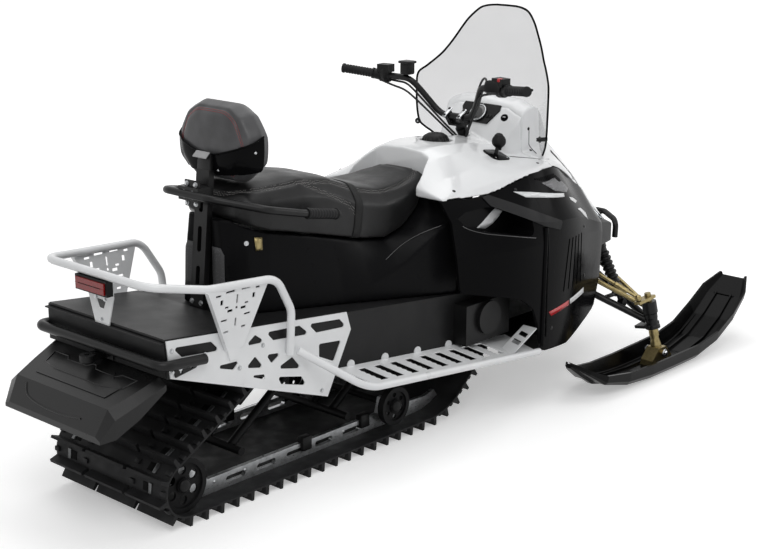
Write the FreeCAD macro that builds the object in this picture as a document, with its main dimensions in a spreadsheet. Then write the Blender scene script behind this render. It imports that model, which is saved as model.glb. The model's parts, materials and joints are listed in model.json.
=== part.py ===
"""Two-seat utility snowmobile with a wide track, built as an assembly of separate pieces.

Millimetres. +X forward, +Y to the rider's left, +Z up. The origin is on the ground under the
middle of the machine. Distances along the machine are measured forward from the rear axle.
"""
import FreeCAD
import Part
import math
import os
import Sketcher

Vector = FreeCAD.Vector

DIMENSIONS = {
    # Whole machine
    "rear_axle": -1286.0,        # rear axle behind the middle of the machine
    "pitch": 6.0,                # how far tunnel and boards slope down forward, in degrees
    "fit": 0.3,                  # clearance between pieces that seat on each other
    # Track and its wheels
    "track_width": 560.0,
    "track_gap": 7.0,            # track to tunnel, each side
    "belt": 6.0,
    "lug_height": 30.0,
    "lug_length": 16.0,
    "lug_pitch": 64.0,
    "rear_wheel_radius": 90.0,
    "idler_radius": 70.0,
    "sprocket_radius": 81.0,
    "wheel_width": 26.0,
    "axle_radius": 12.0,
    "hub_wall": 14.0,
    "rim_depth": 16.0,
    "web_thick": 8.0,
    "flat_end": 1130.0,          # where the track leaves the ground at the front
    "tip_radius": 260.0,         # curve of the belt under the rails' raised tips
    "sprocket_ahead": 304.0,     # sprocket in front of the track's flat end
    "sprocket_z": 328.0,
    "top_idler_x": 500.0,
    "top_idler_z": 432.0,
    "mid_wheel_back": 154.0,     # middle wheels behind the track's flat end
    "mid_wheel_z": 118.0,
    "rail_y": 190.0,
    "rail_thick": 16.0,
    "rail_height": 52.0,
    "wheel_y": 238.0,
    "inner_wheel_y": 70.0,
    # Tunnel, plates and boards
    "tunnel_rear": -85.0,
    "tunnel_ahead": 86.0,        # tunnel's front end in front of the sprocket
    "tunnel_top": 622.0,
    "tunnel_wall": 3.0,
    "plate_rear_low": 505.0,
    "plate_thick": 4.0,
    "board_rear": 640.0,
    "board_front": 1548.0,
    "board_z": 352.0,
    "board_width": 150.0,
    "board_thick": 4.0,
    "board_roll": 11.0,
    "edge_tube": 13.0,
    # Rack, bumper and flap
    "hoop_tube": 13.0,
    "hoop_rear": -113.0,
    "hoop_rear_half": 250.0,
    "hoop_z": 785.0,
    "hoop_out": 44.0,            # hoop outside the tunnel
    "hoop_foot_x": 405.0,
    "rack_foot_z": 540.0,
    "bumper_tube": 16.0,
    "bumper_x": -118.0,
    "bumper_z": 556.0,
    "flap_wall": 5.0,
    # Seat and what carries it
    "seat_half": 185.0,
    "base_half": 205.0,
    "post_width": 62.0,
    "post_x": 300.0,
    "post_height": 455.0,
    "post_tilt": 5.8,
    "backrest_half": 160.0,
    "grab_tube": 12.5,
    # Bodywork
    "skin": 10.0,
    "seam": 1578.0,
    "screen_thick": 4.0,
    "engine_front": 1960.0,
    "engine_top": 615.3,
    # Steering and skis
    "bar_tube": 11.0,
    "bar_centre_x": 1585.0,
    "bar_centre_z": 1052.0,
    "column_lean": 35.0,
    "ski_y": 505.0,
    "ski_half": 112.0,
    "ski_wall": 14.0,
    "pivot_x": 2281.0,
    "pivot_z": 70.0,
    "kingpin_lean": 10.0,
    "kingpin_rake": 6.0,
    "kingpin_radius": 13.0,
    "steering_arm": 66.0,
    "arm_tube": 14.0,
    "damper_radius": 28.0,
}

doc = FreeCAD.newDocument("Snowmobile")
sheet = doc.addObject("Spreadsheet::Sheet", "Sizes")
for row, (alias, amount) in enumerate(DIMENSIONS.items(), start=1):
    sheet.set(f"A{row}", alias)
    sheet.set(f"B{row}", str(amount))
    sheet.setAlias(f"B{row}", alias)
doc.recompute()


class Size:
    """A length with its present value and the sheet formula that it follows."""

    def __init__(self, value, formula):
        self.value = float(value)
        self.formula = formula

    def __add__(self, other):
        other = as_size(other)
        return Size(self.value + other.value, f"({self.formula} + {other.formula})")

    def __sub__(self, other):
        other = as_size(other)
        return Size(self.value - other.value, f"({self.formula} - {other.formula})")

    def __mul__(self, other):
        other = as_size(other)
        return Size(self.value * other.value, f"({self.formula} * {other.formula})")

    def __truediv__(self, other):
        other = as_size(other)
        return Size(self.value / other.value, f"({self.formula} / {other.formula})")

    def __radd__(self, other):
        return as_size(other) + self

    def __rsub__(self, other):
        return as_size(other) - self

    def __rmul__(self, other):
        return as_size(other) * self

    def __lt__(self, other):
        return self.value < float(other)

    def __gt__(self, other):
        return self.value > float(other)

    def __neg__(self):
        return Size(-self.value, f"(0 - {self.formula})")

    def __float__(self):
        return self.value


def as_size(value):
    if isinstance(value, Size):
        return value
    return Size(value, f"({float(value)})")


class Sheet:
    """The sheet's cells as sizes, by their names."""

    def __getattr__(self, alias):
        return Size(sheet.get(alias), f"Sizes.{alias}")


d = Sheet()

TUNNEL_HALF = d.track_width / 2 + d.track_gap + d.tunnel_wall
FLANK = TUNNEL_HALF + d.plate_thick
HOOP_HALF = TUNNEL_HALF + d.hoop_out
SPROCKET_X = d.flat_end + d.sprocket_ahead
MID_WHEEL_X = d.flat_end - d.mid_wheel_back
TUNNEL_FRONT = SPROCKET_X + d.tunnel_ahead
GROUND_RUN = d.lug_height + d.belt


def cosine(angle):
    angle = as_size(angle)
    return Size(math.cos(math.radians(angle.value)), f"cos({angle.formula})")


def sine(angle):
    angle = as_size(angle)
    return Size(math.sin(math.radians(angle.value)), f"sin({angle.formula})")


def slope(rise, run):
    """The angle of a line from its rise and run, in degrees."""
    rise, run = as_size(rise), as_size(run)
    angle = math.degrees(math.atan2(rise.value, run.value))
    return Size(angle, f"atan({rise.formula} / {run.formula})")


FALL = sine(d.pitch) / cosine(d.pitch)


def fwd(distance):
    """A place along the machine, from its distance in front of the rear axle."""
    return d.rear_axle + distance


def level(height, distance):
    """A height that falls forward with the tunnel, given at the tunnel's rear end."""
    return height - (distance - d.tunnel_rear) * FALL


def bind(thing, prop, size):
    size = as_size(size)
    if "Sizes." in size.formula:
        thing.setExpression(prop, size.formula)
        return
    thing.setExpression(prop, None)
    setattr(thing, prop, size.value)


def place(thing, x=0, y=0, z=0, axis=None, angle=0):
    """Put a thing at a point, turned about an axis."""
    x, y, z, angle = as_size(x), as_size(y), as_size(z), as_size(angle)
    turn = FreeCAD.Rotation()
    if axis is not None:
        turn = FreeCAD.Rotation(Vector(*axis), angle.value)
    thing.Placement = FreeCAD.Placement(Vector(x.value, y.value, z.value), turn)
    for name, size in (("x", x), ("y", y), ("z", z)):
        if "Sizes." in size.formula:
            thing.setExpression(f".Placement.Base.{name}", size.formula)
    if axis is not None and "Sizes." in angle.formula:
        thing.setExpression(".Placement.Rotation.Angle", angle.formula)
    return thing


def rounded_edges(points, radius):
    """Straight runs joined by tangent arcs, round a closed outline in the sketch's plane."""
    corners = [Vector(float(as_size(px)), float(as_size(py)), 0) for px, py in points]
    bends = []
    for number, corner in enumerate(corners):
        back = corners[number - 1] - corner
        ahead = corners[(number + 1) % len(corners)] - corner
        half = back.getAngle(ahead) / 2
        reach = min(radius / math.tan(half), 0.45 * back.Length, 0.45 * ahead.Length)
        bend = reach * math.tan(half)
        back.normalize()
        ahead.normalize()
        inward = (back + ahead).normalize()
        middle = corner + inward * (bend / math.sin(half) - bend)
        bends.append((corner + back * reach, middle, corner + ahead * reach))
    edges = []
    for number, (start, middle, end) in enumerate(bends):
        edges.append(Part.Arc(start, middle, end))
        edges.append(Part.LineSegment(end, bends[(number + 1) % len(bends)][0]))
    return edges


def draw(sketch, points, rounding=0):
    """Draw one closed outline, with straight edges tied to the sheet or with rounded corners."""
    if rounding:
        sketch.addGeometry(rounded_edges(points, float(rounding)), False)
        return
    first = sketch.GeometryCount
    count = len(points)
    points = [(as_size(px), as_size(py)) for px, py in points]
    corners = [Vector(px.value, py.value, 0) for px, py in points]
    edges = [Part.LineSegment(corners[i], corners[(i + 1) % count]) for i in range(count)]
    sketch.addGeometry(edges, False)
    joints = []
    for i in range(count):
        joints.append(Sketcher.Constraint("Coincident", first + i, 2, first + (i + 1) % count, 1))
    sketch.addConstraint(joints)
    for i, (px, py) in enumerate(points):
        for kind, size in (("DistanceX", px), ("DistanceY", py)):
            index = sketch.addConstraint(Sketcher.Constraint(kind, first + i, 1, size.value))
            if "Sizes." in size.formula:
                sketch.setExpression(f"Constraints[{index}]", size.formula)


def draw_circle(sketch, x, y, radius):
    x, y, radius = as_size(x), as_size(y), as_size(radius)
    centre = Vector(x.value, y.value, 0)
    index = sketch.addGeometry(Part.Circle(centre, Vector(0, 0, 1), radius.value), False)
    rules = (("DistanceX", index, 3, x), ("DistanceY", index, 3, y))
    for kind, which, spot, size in rules:
        number = sketch.addConstraint(Sketcher.Constraint(kind, which, spot, size.value))
        if "Sizes." in size.formula:
            sketch.setExpression(f"Constraints[{number}]", size.formula)
    number = sketch.addConstraint(Sketcher.Constraint("Radius", index, radius.value))
    if "Sizes." in radius.formula:
        sketch.setExpression(f"Constraints[{number}]", radius.formula)


def origin_plane(body, role):
    for feature in body.Origin.OriginFeatures:
        if feature.Role == role:
            return feature
    raise ValueError(role)


def new_sketch(body, role, offset=0):
    sketch = body.newObject("Sketcher::SketchObject", body.Name + "_sketch")
    sketch.AttachmentSupport = [(origin_plane(body, role), "")]
    sketch.MapMode = "FlatFace"
    offset = as_size(offset)
    sketch.AttachmentOffset = FreeCAD.Placement(Vector(0, 0, offset.value), FreeCAD.Rotation())
    if "Sizes." in offset.formula:
        sketch.setExpression(".AttachmentOffset.Base.z", offset.formula)
    return sketch


def side_plate(name, y, thick, outlines, circles=(), windows=(), rounding=6):
    """A flat plate that stands along the machine, from y outwards to the right by its thickness."""
    body = doc.addObject("PartDesign::Body", name)
    sketch = new_sketch(body, "XZ_Plane", -as_size(y))
    for points in outlines:
        draw(sketch, points)
    for points in windows:
        draw(sketch, points, rounding)
    for circle in circles:
        draw_circle(sketch, *circle)
    pad = body.newObject("PartDesign::Pad", name + "_pad")
    pad.Profile = sketch
    bind(pad, "Length", thick)
    return body


def front_plate(name, thick, outlines, windows=(), rounding=6):
    """An upright plate across the machine, its sketch in y and z, thickened forward."""
    body = doc.addObject("PartDesign::Body", name)
    sketch = new_sketch(body, "YZ_Plane")
    for points in outlines:
        draw(sketch, points)
    for points in windows:
        draw(sketch, points, rounding)
    pad = body.newObject("PartDesign::Pad", name + "_pad")
    pad.Profile = sketch
    bind(pad, "Length", thick)
    return body


def flat_plate(name, z, thick, outlines, windows=(), rounding=6):
    """A plate lying flat, from z upwards by its thickness."""
    body = doc.addObject("PartDesign::Body", name)
    sketch = new_sketch(body, "XY_Plane", z)
    for points in outlines:
        draw(sketch, points)
    for points in windows:
        draw(sketch, points, rounding)
    pad = body.newObject("PartDesign::Pad", name + "_pad")
    pad.Profile = sketch
    bind(pad, "Length", thick)
    return body


def lathe(name, points):
    """A turned piece about its own Z axis, from radius and height points."""
    body = doc.addObject("PartDesign::Body", name)
    sketch = new_sketch(body, "XZ_Plane")
    draw(sketch, points)
    turn = body.newObject("PartDesign::Revolution", name + "_turn")
    turn.Profile = sketch
    turn.ReferenceAxis = (sketch, ["V_Axis"])
    turn.Angle = 360.0
    return body


def cylinder(name, radius, length, x=0, y=0, z=0, axis=None, angle=0):
    thing = doc.addObject("Part::Cylinder", name)
    bind(thing, "Radius", radius)
    bind(thing, "Height", length)
    return place(thing, x, y, z, axis, angle)


def block(name, length, width, height, x=0, y=0, z=0, axis=None, angle=0):
    thing = doc.addObject("Part::Box", name)
    bind(thing, "Length", length)
    bind(thing, "Width", width)
    bind(thing, "Height", height)
    return place(thing, x, y, z, axis, angle)


def fused(name, things):
    thing = doc.addObject("Part::MultiFuse", name)
    thing.Shapes = things
    return thing


def cut(name, base, tool):
    thing = doc.addObject("Part::Cut", name)
    thing.Base = base
    thing.Tool = tool
    return thing


def common(name, base, tool):
    thing = doc.addObject("Part::Common", name)
    thing.Base = base
    thing.Tool = tool
    return thing


def mirrored(name, source):
    thing = doc.addObject("Part::Mirroring", name)
    thing.Source = source
    thing.Normal = Vector(0, 1, 0)
    thing.Base = Vector(0, 0, 0)
    return thing


def pair(name, source):
    """A piece on the left or right with its mirror, as one node of separate solids."""
    thing = doc.addObject("Part::Compound", name)
    thing.Links = [source, mirrored(name + "_mirror", source)]
    return thing


def bent_path(name, points, bend):
    """The centre line of a bent tube: straight runs joined by tangent arcs."""
    spots = [Vector(*(float(as_size(value)) for value in point)) for point in points]
    edges = []
    start = spots[0]
    for before, corner, after in zip(spots, spots[1:], spots[2:]):
        back = (before - corner).normalize()
        ahead = (after - corner).normalize()
        half = back.getAngle(ahead) / 2
        reach = bend / math.tan(half)
        reach = min(reach, 0.45 * (before - corner).Length, 0.45 * (after - corner).Length)
        radius = reach * math.tan(half)
        inner = (back + ahead).normalize()
        centre = corner + inner * (radius / math.sin(half))
        first = corner + back * reach
        last = corner + ahead * reach
        middle = centre - inner * radius
        edges.append(Part.LineSegment(start, first).toShape())
        edges.append(Part.Arc(first, middle, last).toShape())
        start = last
    edges.append(Part.LineSegment(start, spots[-1]).toShape())
    path = doc.addObject("Part::Feature", name)
    path.Shape = Part.Wire(edges)
    return path, spots


def tube(name, points, radius, bend=60.0):
    """A round tube along bent runs."""
    path, spots = bent_path(name + "_path", points, bend)
    ring = doc.addObject("Part::Circle", name + "_ring")
    bind(ring, "Radius", radius)
    run = spots[1] - spots[0]
    ring.Placement = FreeCAD.Placement(spots[0], FreeCAD.Rotation(Vector(0, 0, 1), run))
    sweep = doc.addObject("Part::Sweep", name)
    sweep.Sections = [ring]
    sweep.Spine = (path, [f"Edge{i + 1}" for i in range(len(path.Shape.Edges))])
    sweep.Solid = True
    sweep.Frenet = False
    return sweep


CROSSWAYS = FreeCAD.Rotation(Vector(1, 1, 1), 120)


def loft(name, sections, ruled=True):
    """A solid through upright sections across the machine, each an x and its y, z corners."""
    outlines = []
    for number, (x, points) in enumerate(sections, start=1):
        sketch = doc.addObject("Sketcher::SketchObject", f"{name}_section{number}")
        x = as_size(x)
        sketch.Placement = FreeCAD.Placement(Vector(x.value, 0, 0), CROSSWAYS)
        if "Sizes." in x.formula:
            sketch.setExpression(".Placement.Base.x", x.formula)
        draw(sketch, points)
        outlines.append(sketch)
    body = doc.addObject("Part::Loft", name)
    body.Sections = outlines
    body.Solid = True
    body.Ruled = ruled
    return body


def rectangle(x, z, length, height):
    """The corners of an upright rectangle about its middle."""
    x, z, length, height = as_size(x), as_size(z), as_size(length), as_size(height)
    return [(x - length / 2, z - height / 2), (x + length / 2, z - height / 2),
            (x + length / 2, z + height / 2), (x - length / 2, z + height / 2)]


def both_sides(half_outline):
    """Close a half outline, listed from the middle line round the left side, by its mirror."""
    other = [(-as_size(y), z) for y, z in reversed(half_outline)]
    return list(half_outline) + other


PARTS = []


def keep(thing, label):
    thing.Label = label
    PARTS.append(thing)
    return thing


def hull_loop(rings, y, grow):
    """A closed wire round circles in the side view, each an x, z and radius, grown by a distance."""
    edges = []
    lines = []
    for number, ring in enumerate(rings):
        after = rings[(number + 1) % len(rings)]
        run_x = after[0] - ring[0]
        run_z = after[1] - ring[1]
        gap = math.hypot(run_x, run_z)
        turn = math.atan2(run_z, run_x) - math.pi / 2 + math.asin((ring[2] - after[2]) / gap)
        away = Vector(math.cos(turn), 0, math.sin(turn))
        first = Vector(ring[0], y, ring[1]) + away * (ring[2] + grow)
        last = Vector(after[0], y, after[1]) + away * (after[2] + grow)
        lines.append((first, last, turn))
    for number, (first, last, turn) in enumerate(lines):
        nxt = (number + 1) % len(lines)
        edges.append(Part.LineSegment(first, last).toShape())
        ring = rings[nxt]
        next_turn = lines[nxt][2]
        while next_turn < turn:
            next_turn += 2 * math.pi
        middle_turn = (turn + next_turn) / 2
        out = Vector(math.cos(middle_turn), 0, math.sin(middle_turn)) * (ring[2] + grow)
        middle = Vector(ring[0], y, ring[1]) + out
        edges.append(Part.Arc(last, middle, lines[nxt][0]).toShape())
    return Part.Wire(edges)


def track():
    """One fixed loop: the belt round wheels, sprocket and rails, with rows of tapered lugs."""
    inner = float(GROUND_RUN)
    rings = [
        (float(fwd(0)), inner + float(d.rear_wheel_radius), float(d.rear_wheel_radius)),
        (float(fwd(d.flat_end)), inner + float(d.tip_radius), float(d.tip_radius)),
        (float(fwd(SPROCKET_X)), float(d.sprocket_z), float(d.sprocket_radius)),
        (float(fwd(d.top_idler_x)), float(d.top_idler_z), float(d.idler_radius)),
    ]
    width = float(d.track_width)
    half = width / 2
    belt = float(d.belt)
    outside = Part.Face(hull_loop(rings, -half, belt)).extrude(Vector(0, width, 0))
    inside = Part.Face(hull_loop(rings, -half, 0.0)).extrude(Vector(0, width, 0))
    loop = outside.cut(inside)
    wire = hull_loop(rings, 0.0, belt)
    count = round(wire.Length / float(d.lug_pitch))
    spots = wire.discretize(Number=4 * count + 1)[:-1]
    sink = belt / 3
    length = float(d.lug_length)
    height = float(d.lug_height) + sink
    taper = 0.2 * length
    side_band = 0.30 * width
    middle_band = 0.34 * width
    bands = ((-half, side_band), (-middle_band / 2, middle_band), (half - side_band, side_band))
    profile = [Vector(0, 0, 0), Vector(length, 0, 0), Vector(length - taper, 0, height),
               Vector(taper, 0, height), Vector(0, 0, 0)]
    lugs = []
    for row_number in range(count):
        spot = spots[4 * row_number]
        before = spots[4 * row_number - 1]
        after = spots[(4 * row_number + 1) % len(spots)]
        tangent = (after - before).normalize()
        out = Vector(tangent.z, 0, -tangent.x)
        turn = FreeCAD.Rotation(-tangent, Vector(0, 1, 0), out, "XZY")
        corner = spot + tangent * (length / 2) - out * sink
        for start, across in bands:
            lug = Part.Face(Part.makePolygon(profile)).extrude(Vector(0, across, 0))
            lug.Placement = FreeCAD.Placement(corner + Vector(0, start, 0), turn)
            lugs.append(lug)
    thing = doc.addObject("Part::Feature", "Track_loop")
    thing.Shape = loop.multiFuse(lugs)
    keep(thing, "track")


ACROSS = (1, 0, 0)
UPWARDS = (0, 1, 0)
WEB_HOLES = 6


def wheel(name, radius, x, z, y):
    """A track wheel, turned, with holes round its web, centred on y."""
    half = d.wheel_width / 2
    hub = d.axle_radius + d.hub_wall
    rim = radius - d.rim_depth
    web = d.web_thick / 2
    body = lathe(name, [
        (d.axle_radius, -half), (hub, -half), (hub, -web), (rim, -web), (rim, -half),
        (radius, -half), (radius, half), (rim, half), (rim, web), (hub, web),
        (hub, half), (d.axle_radius, half)])
    sketch = new_sketch(body, "XY_Plane", half)
    middle = (hub + rim) / 2
    for number in range(WEB_HOLES):
        turn = 360.0 / WEB_HOLES * (number + 0.5)
        draw_circle(sketch, middle * cosine(turn), middle * sine(turn), (rim - hub) * 0.32)
    holes = body.newObject("PartDesign::Pocket", name + "_holes")
    holes.Profile = sketch
    holes.Type = "ThroughAll"
    return place(body, x, y, z, ACROSS, -90)


def shaft(name, radius, length, x, z):
    """A round bar across the machine, centred on the middle line."""
    return cylinder(name, radius, length, x, as_size(length) / -2, z, ACROSS, -90)


def wheel_set(label, radius, x, z, offsets, length):
    """Wheels side by side on one axle, with the axle through them."""
    pieces = [shaft(label + "_axle", d.axle_radius, length, x, z)]
    for number, offset in enumerate(offsets, start=1):
        pieces.append(wheel(f"{label}_wheel{number}", radius, x, z, offset))
    return fused(label + "_all", pieces)


def track_wheels():
    """Rear, middle and upper wheels inside the track, and the drive sprockets at its front."""
    outer = d.wheel_y
    inner = d.inner_wheel_y
    wide = outer * 2 + d.wheel_width
    inside = (TUNNEL_HALF - d.tunnel_wall) * 2
    rear = wheel_set("Rear_idlers", d.rear_wheel_radius - d.fit, fwd(0), GROUND_RUN + d.rear_wheel_radius,
                     (outer, -outer, inner, -inner), wide)
    middle = wheel_set("Mid_idlers", d.idler_radius, fwd(MID_WHEEL_X), d.mid_wheel_z,
                       (outer, -outer), wide)
    upper = wheel_set("Upper_idlers", d.idler_radius - d.fit, fwd(d.top_idler_x), d.top_idler_z,
                      (inner * 2, inner * -2), inside)
    keep(fused("Track_wheels", [rear, middle, upper]), "track_wheels")
    drive = wheel_set("Drive_sprockets", d.sprocket_radius - d.fit, fwd(SPROCKET_X), d.sprocket_z,
                      (outer, inner * 2, inner * -2, -outer), inside)
    keep(drive, "drive_sprockets")


RAIL_WINDOWS = 5


def rails():
    """Two long rails inside the track, with raised tips, that its inner face slides on."""
    low = GROUND_RUN + d.fit
    top = low + d.rail_height
    end = d.flat_end
    axle_z = GROUND_RUN + d.rear_wheel_radius
    hole = d.axle_radius + d.fit
    boss = d.axle_radius + d.hub_wall
    outline = [
        (fwd(-boss), axle_z - boss), (fwd(60), top - 22), (fwd(112), low), (fwd(end), low),
        (fwd(end + 45), low + 4), (fwd(end + 90), low + 16), (fwd(end + 130), low + 35),
        (fwd(end + 112), low + 62), (fwd(end + 60), top - 4), (fwd(end - 20), top),
        (fwd(MID_WHEEL_X + 42), top), (fwd(MID_WHEEL_X + 26), d.mid_wheel_z + boss),
        (fwd(MID_WHEEL_X - 26), d.mid_wheel_z + boss), (fwd(MID_WHEEL_X - 42), top),
        (fwd(140), top), (fwd(60), axle_z + boss), (fwd(-boss), axle_z + boss)]
    holes = [(fwd(0), axle_z, hole), (fwd(MID_WHEEL_X), d.mid_wheel_z, hole)]
    first = 190
    last = MID_WHEEL_X - 110
    step = (last - first) / RAIL_WINDOWS
    windows = []
    for number in range(RAIL_WINDOWS):
        middle = fwd(first + step * (number + 0.5))
        windows.append(rectangle(middle, (low + top) / 2, step * 0.62, d.rail_height * 0.4))
    rail = side_plate("Rail_right", -d.rail_y + d.rail_thick / 2, d.rail_thick, [outline], holes, windows, 9)
    keep(pair("Rails", rail), "rails")


def suspension_arms():
    """The swing arms between the rails and the tunnel, with a spring and damper on each."""
    rear = suspension_arm("Rear_arm", 300, 130, 640, 372, 120)
    front = suspension_arm("Front_arm", 800, 110, 1120, 346, 95)
    keep(fused("Suspension_arms", [rear, front]), "suspension_arms")


def suspension_arm(label, low_x, low_z, high_x, high_z, y):
    """A pair of tubes between a shaft across the rails and one across the tunnel, with a damper."""
    low_length = d.rail_y * 2 - d.rail_thick
    high_length = (TUNNEL_HALF - d.tunnel_wall) * 2
    low = (fwd(low_x), 0, low_z)
    high = (fwd(high_x), 0, high_z)
    pieces = [
        shaft(label + "_low", d.arm_tube, low_length, low[0], low_z),
        shaft(label + "_high", d.arm_tube, high_length, high[0], high_z),
        rod(label + "_damper", low, high, d.damper_radius * 0.5)]
    spring_low = [float(as_size(a)) * 0.6 + float(as_size(b)) * 0.4 for a, b in zip(low, high)]
    spring_high = [float(as_size(a)) * 0.2 + float(as_size(b)) * 0.8 for a, b in zip(low, high)]
    pieces.append(rod(label + "_spring", spring_low, spring_high, d.damper_radius))
    for word, side in (("left", 1), ("right", -1)):
        foot = (low[0], y * side, low_z)
        head = (high[0], y * side, high_z)
        pieces.append(rod(f"{label}_leg_{word}", foot, head, d.arm_tube))
    return fused(label + "_all", pieces)


def rod(name, start, end, radius):
    """A straight round bar between two points."""
    first = Vector(*(float(as_size(value)) for value in start))
    last = Vector(*(float(as_size(value)) for value in end))
    thing = doc.addObject("Part::Cylinder", name)
    bind(thing, "Radius", radius)
    thing.Height = (last - first).Length
    thing.Placement = FreeCAD.Placement(first, FreeCAD.Rotation(Vector(0, 0, 1), last - first))
    return thing


def turned(name, start, end, profile):
    """A turned piece between two points, its profile as shares of the length and radii."""
    first = Vector(*(float(as_size(value)) for value in start))
    last = Vector(*(float(as_size(value)) for value in end))
    length = (last - first).Length
    outline = [(0, 0)] + [(radius, share * length) for share, radius in profile] + [(0, length)]
    body = lathe(name, outline)
    body.Placement = FreeCAD.Placement(first, FreeCAD.Rotation(Vector(0, 0, 1), last - first))
    return body


def tunnel():
    """The long channel over the track."""
    rear, front = d.tunnel_rear, TUNNEL_FRONT
    wall = d.tunnel_wall
    half = TUNNEL_HALF
    top = d.tunnel_top
    skirt = d.board_z - 20
    beyond = 10
    outer = [(fwd(rear), top), (fwd(rear), d.plate_rear_low), (fwd(d.board_rear), skirt),
             (fwd(front), level(skirt, front - d.board_rear + rear)), (fwd(front), level(top, front))]
    inner = [(fwd(rear - beyond), level(top, rear - beyond) - wall), (fwd(rear - beyond), 0),
             (fwd(front + beyond), 0), (fwd(front + beyond), level(top, front + beyond) - wall)]
    block_out = side_plate("Tunnel_outside", half, half * 2, [outer])
    block_in = side_plate("Tunnel_inside", half - wall, (half - wall) * 2, [inner])
    keep(cut("Tunnel", block_out, block_in), "tunnel")


LATTICE = (
    # Cut-outs of the flank plate, each by its corners as distance along the machine and height
    ((-63, 599), (88, 583), (123, 546), (-27, 561)), ((168, 565), (212, 560), (167, 533)),
    ((225, 534), (268, 562), (313, 528)), ((314, 559), (462, 547), (507, 508), (345, 525)),
    ((500, 543), (646, 527), (677, 494), (537, 505)), ((82, 500), (203, 494), (175, 470)),
    ((266, 492), (304, 444), (226, 462)), ((312, 485), (382, 476), (336, 450)),
    ((427, 450), (469, 400), (355, 427)), ((226, 436), (306, 422), (306, 404)),
    ((360, 399), (467, 373), (491, 336), (376, 370)), ((548, 464), (653, 452), (617, 387), (548, 420)))


def side_plates():
    """The cut-out plate on each flank of the tunnel's rear end."""
    rear = d.tunnel_rear
    lip = 2
    outline = [(fwd(rear), d.tunnel_top + lip), (fwd(679), level(d.tunnel_top + lip, 679)),
               (fwd(699), 480), (fwd(587), 271), (fwd(rear + 12), d.plate_rear_low)]
    windows = [[(fwd(x), z) for x, z in corners] for corners in LATTICE]
    plate = side_plate("Side_plate_right", -TUNNEL_HALF, d.plate_thick, [outline], (), windows, 7)
    keep(pair("Side_plates", plate), "side_plates")


BOARD_SLOTS = 9
SLOT_TEETH = 5
EAR_SPOTS = (700, 870, 1040, 1210)


def serrated_slot(start, width, depth):
    """A slanted slot across a board whose rear edge is cut to teeth, from its first corner."""
    lean = 24
    tooth = 5
    outline = [(start + width, 26), (start + width + lean, depth)]
    for number in range(SLOT_TEETH, 0, -1):
        share = number / SLOT_TEETH
        below = (number - 0.5) / SLOT_TEETH
        y = 26 + (depth - 26) * share
        middle = 26 + (depth - 26) * below
        outline.append((start + lean * share, y))
        outline.append((start + lean * below + tooth, middle))
    outline.append((start, 26))
    return outline


def running_boards():
    """Slotted footboards outside the tunnel, each with a toe ramp, ears and a tube round its edge."""
    length = d.board_front - d.board_rear
    width = d.board_width
    step = (length - 200) / BOARD_SLOTS
    slots = [serrated_slot(60 + step * number, step * 0.55, width - 26) for number in range(BOARD_SLOTS)]
    body = flat_plate("Board_left", 0, d.board_thick,
                      [[(0, 0), (length, 0), (length, width), (40, width)]] + slots)
    turn = FreeCAD.Rotation(Vector(0, 1, 0), float(d.pitch))
    turn = turn.multiply(FreeCAD.Rotation(Vector(1, 0, 0), -float(d.board_roll)))
    spot = (fwd(d.board_rear), TUNNEL_HALF, d.board_z)
    body.Placement = FreeCAD.Placement(Vector(*(float(value) for value in spot)), turn)
    for name, size in zip("xyz", spot):
        body.setExpression(f".Placement.Base.{name}", size.formula)
    radius = d.edge_tube
    edge_y = TUNNEL_HALF + width * cosine(d.board_roll) + radius
    edge_z = d.board_z - width * sine(d.board_roll)
    points = [(fwd(440), FLANK + radius + d.fit, 470), (fwd(d.board_rear - 20), edge_y, edge_z + 6),
              (fwd(d.board_front), edge_y, edge_z - length * FALL)]
    rail = tube("Board_tube_left", points, radius, 140)
    ramp_length = 168
    ramp_width = 62
    ramp = flat_plate("Toe_ramp_left", 0, d.board_thick, [
        [(0, 0), (ramp_length, 0), (ramp_length, ramp_width), (0, ramp_width)],
        [(70, 10), (94, 10), (84, 52), (60, 52)], [(116, 10), (140, 10), (130, 52), (106, 52)]])
    place(ramp, fwd(d.board_front - 152), edge_y - radius - ramp_width,
          edge_z - (length - 152) * FALL - 2, UPWARDS, -25)
    pieces = [body, rail, ramp]
    for number, distance in enumerate(EAR_SPOTS, start=1):
        ear_z = d.board_z - (distance - d.board_rear) * FALL + 8
        pieces.append(cylinder(f"Board_ear{number}", 17, d.board_thick, fwd(distance),
                               TUNNEL_HALF + d.board_thick + d.fit, ear_z, ACROSS, 90))
    keep(pair("Running_boards", fused("Board_and_tube_left", pieces)), "running_boards")


RACK_SLOTS = (
    # Middle of each slot along the plate and above its foot, its length and its height
    (95, 192, 22, 7), (142, 198, 36, 7), (205, 198, 36, 7), (254, 190, 18, 7), (172, 168, 7, 30),
    (110, 168, 12, 18), (240, 166, 12, 18), (132, 148, 16, 7), (212, 148, 16, 7), (146, 134, 22, 10),
    (200, 134, 22, 10), (172, 140, 9, 9), (124, 106, 26, 7), (218, 110, 26, 7), (172, 92, 7, 28),
    (136, 66, 20, 7), (206, 70, 18, 7))


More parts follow.
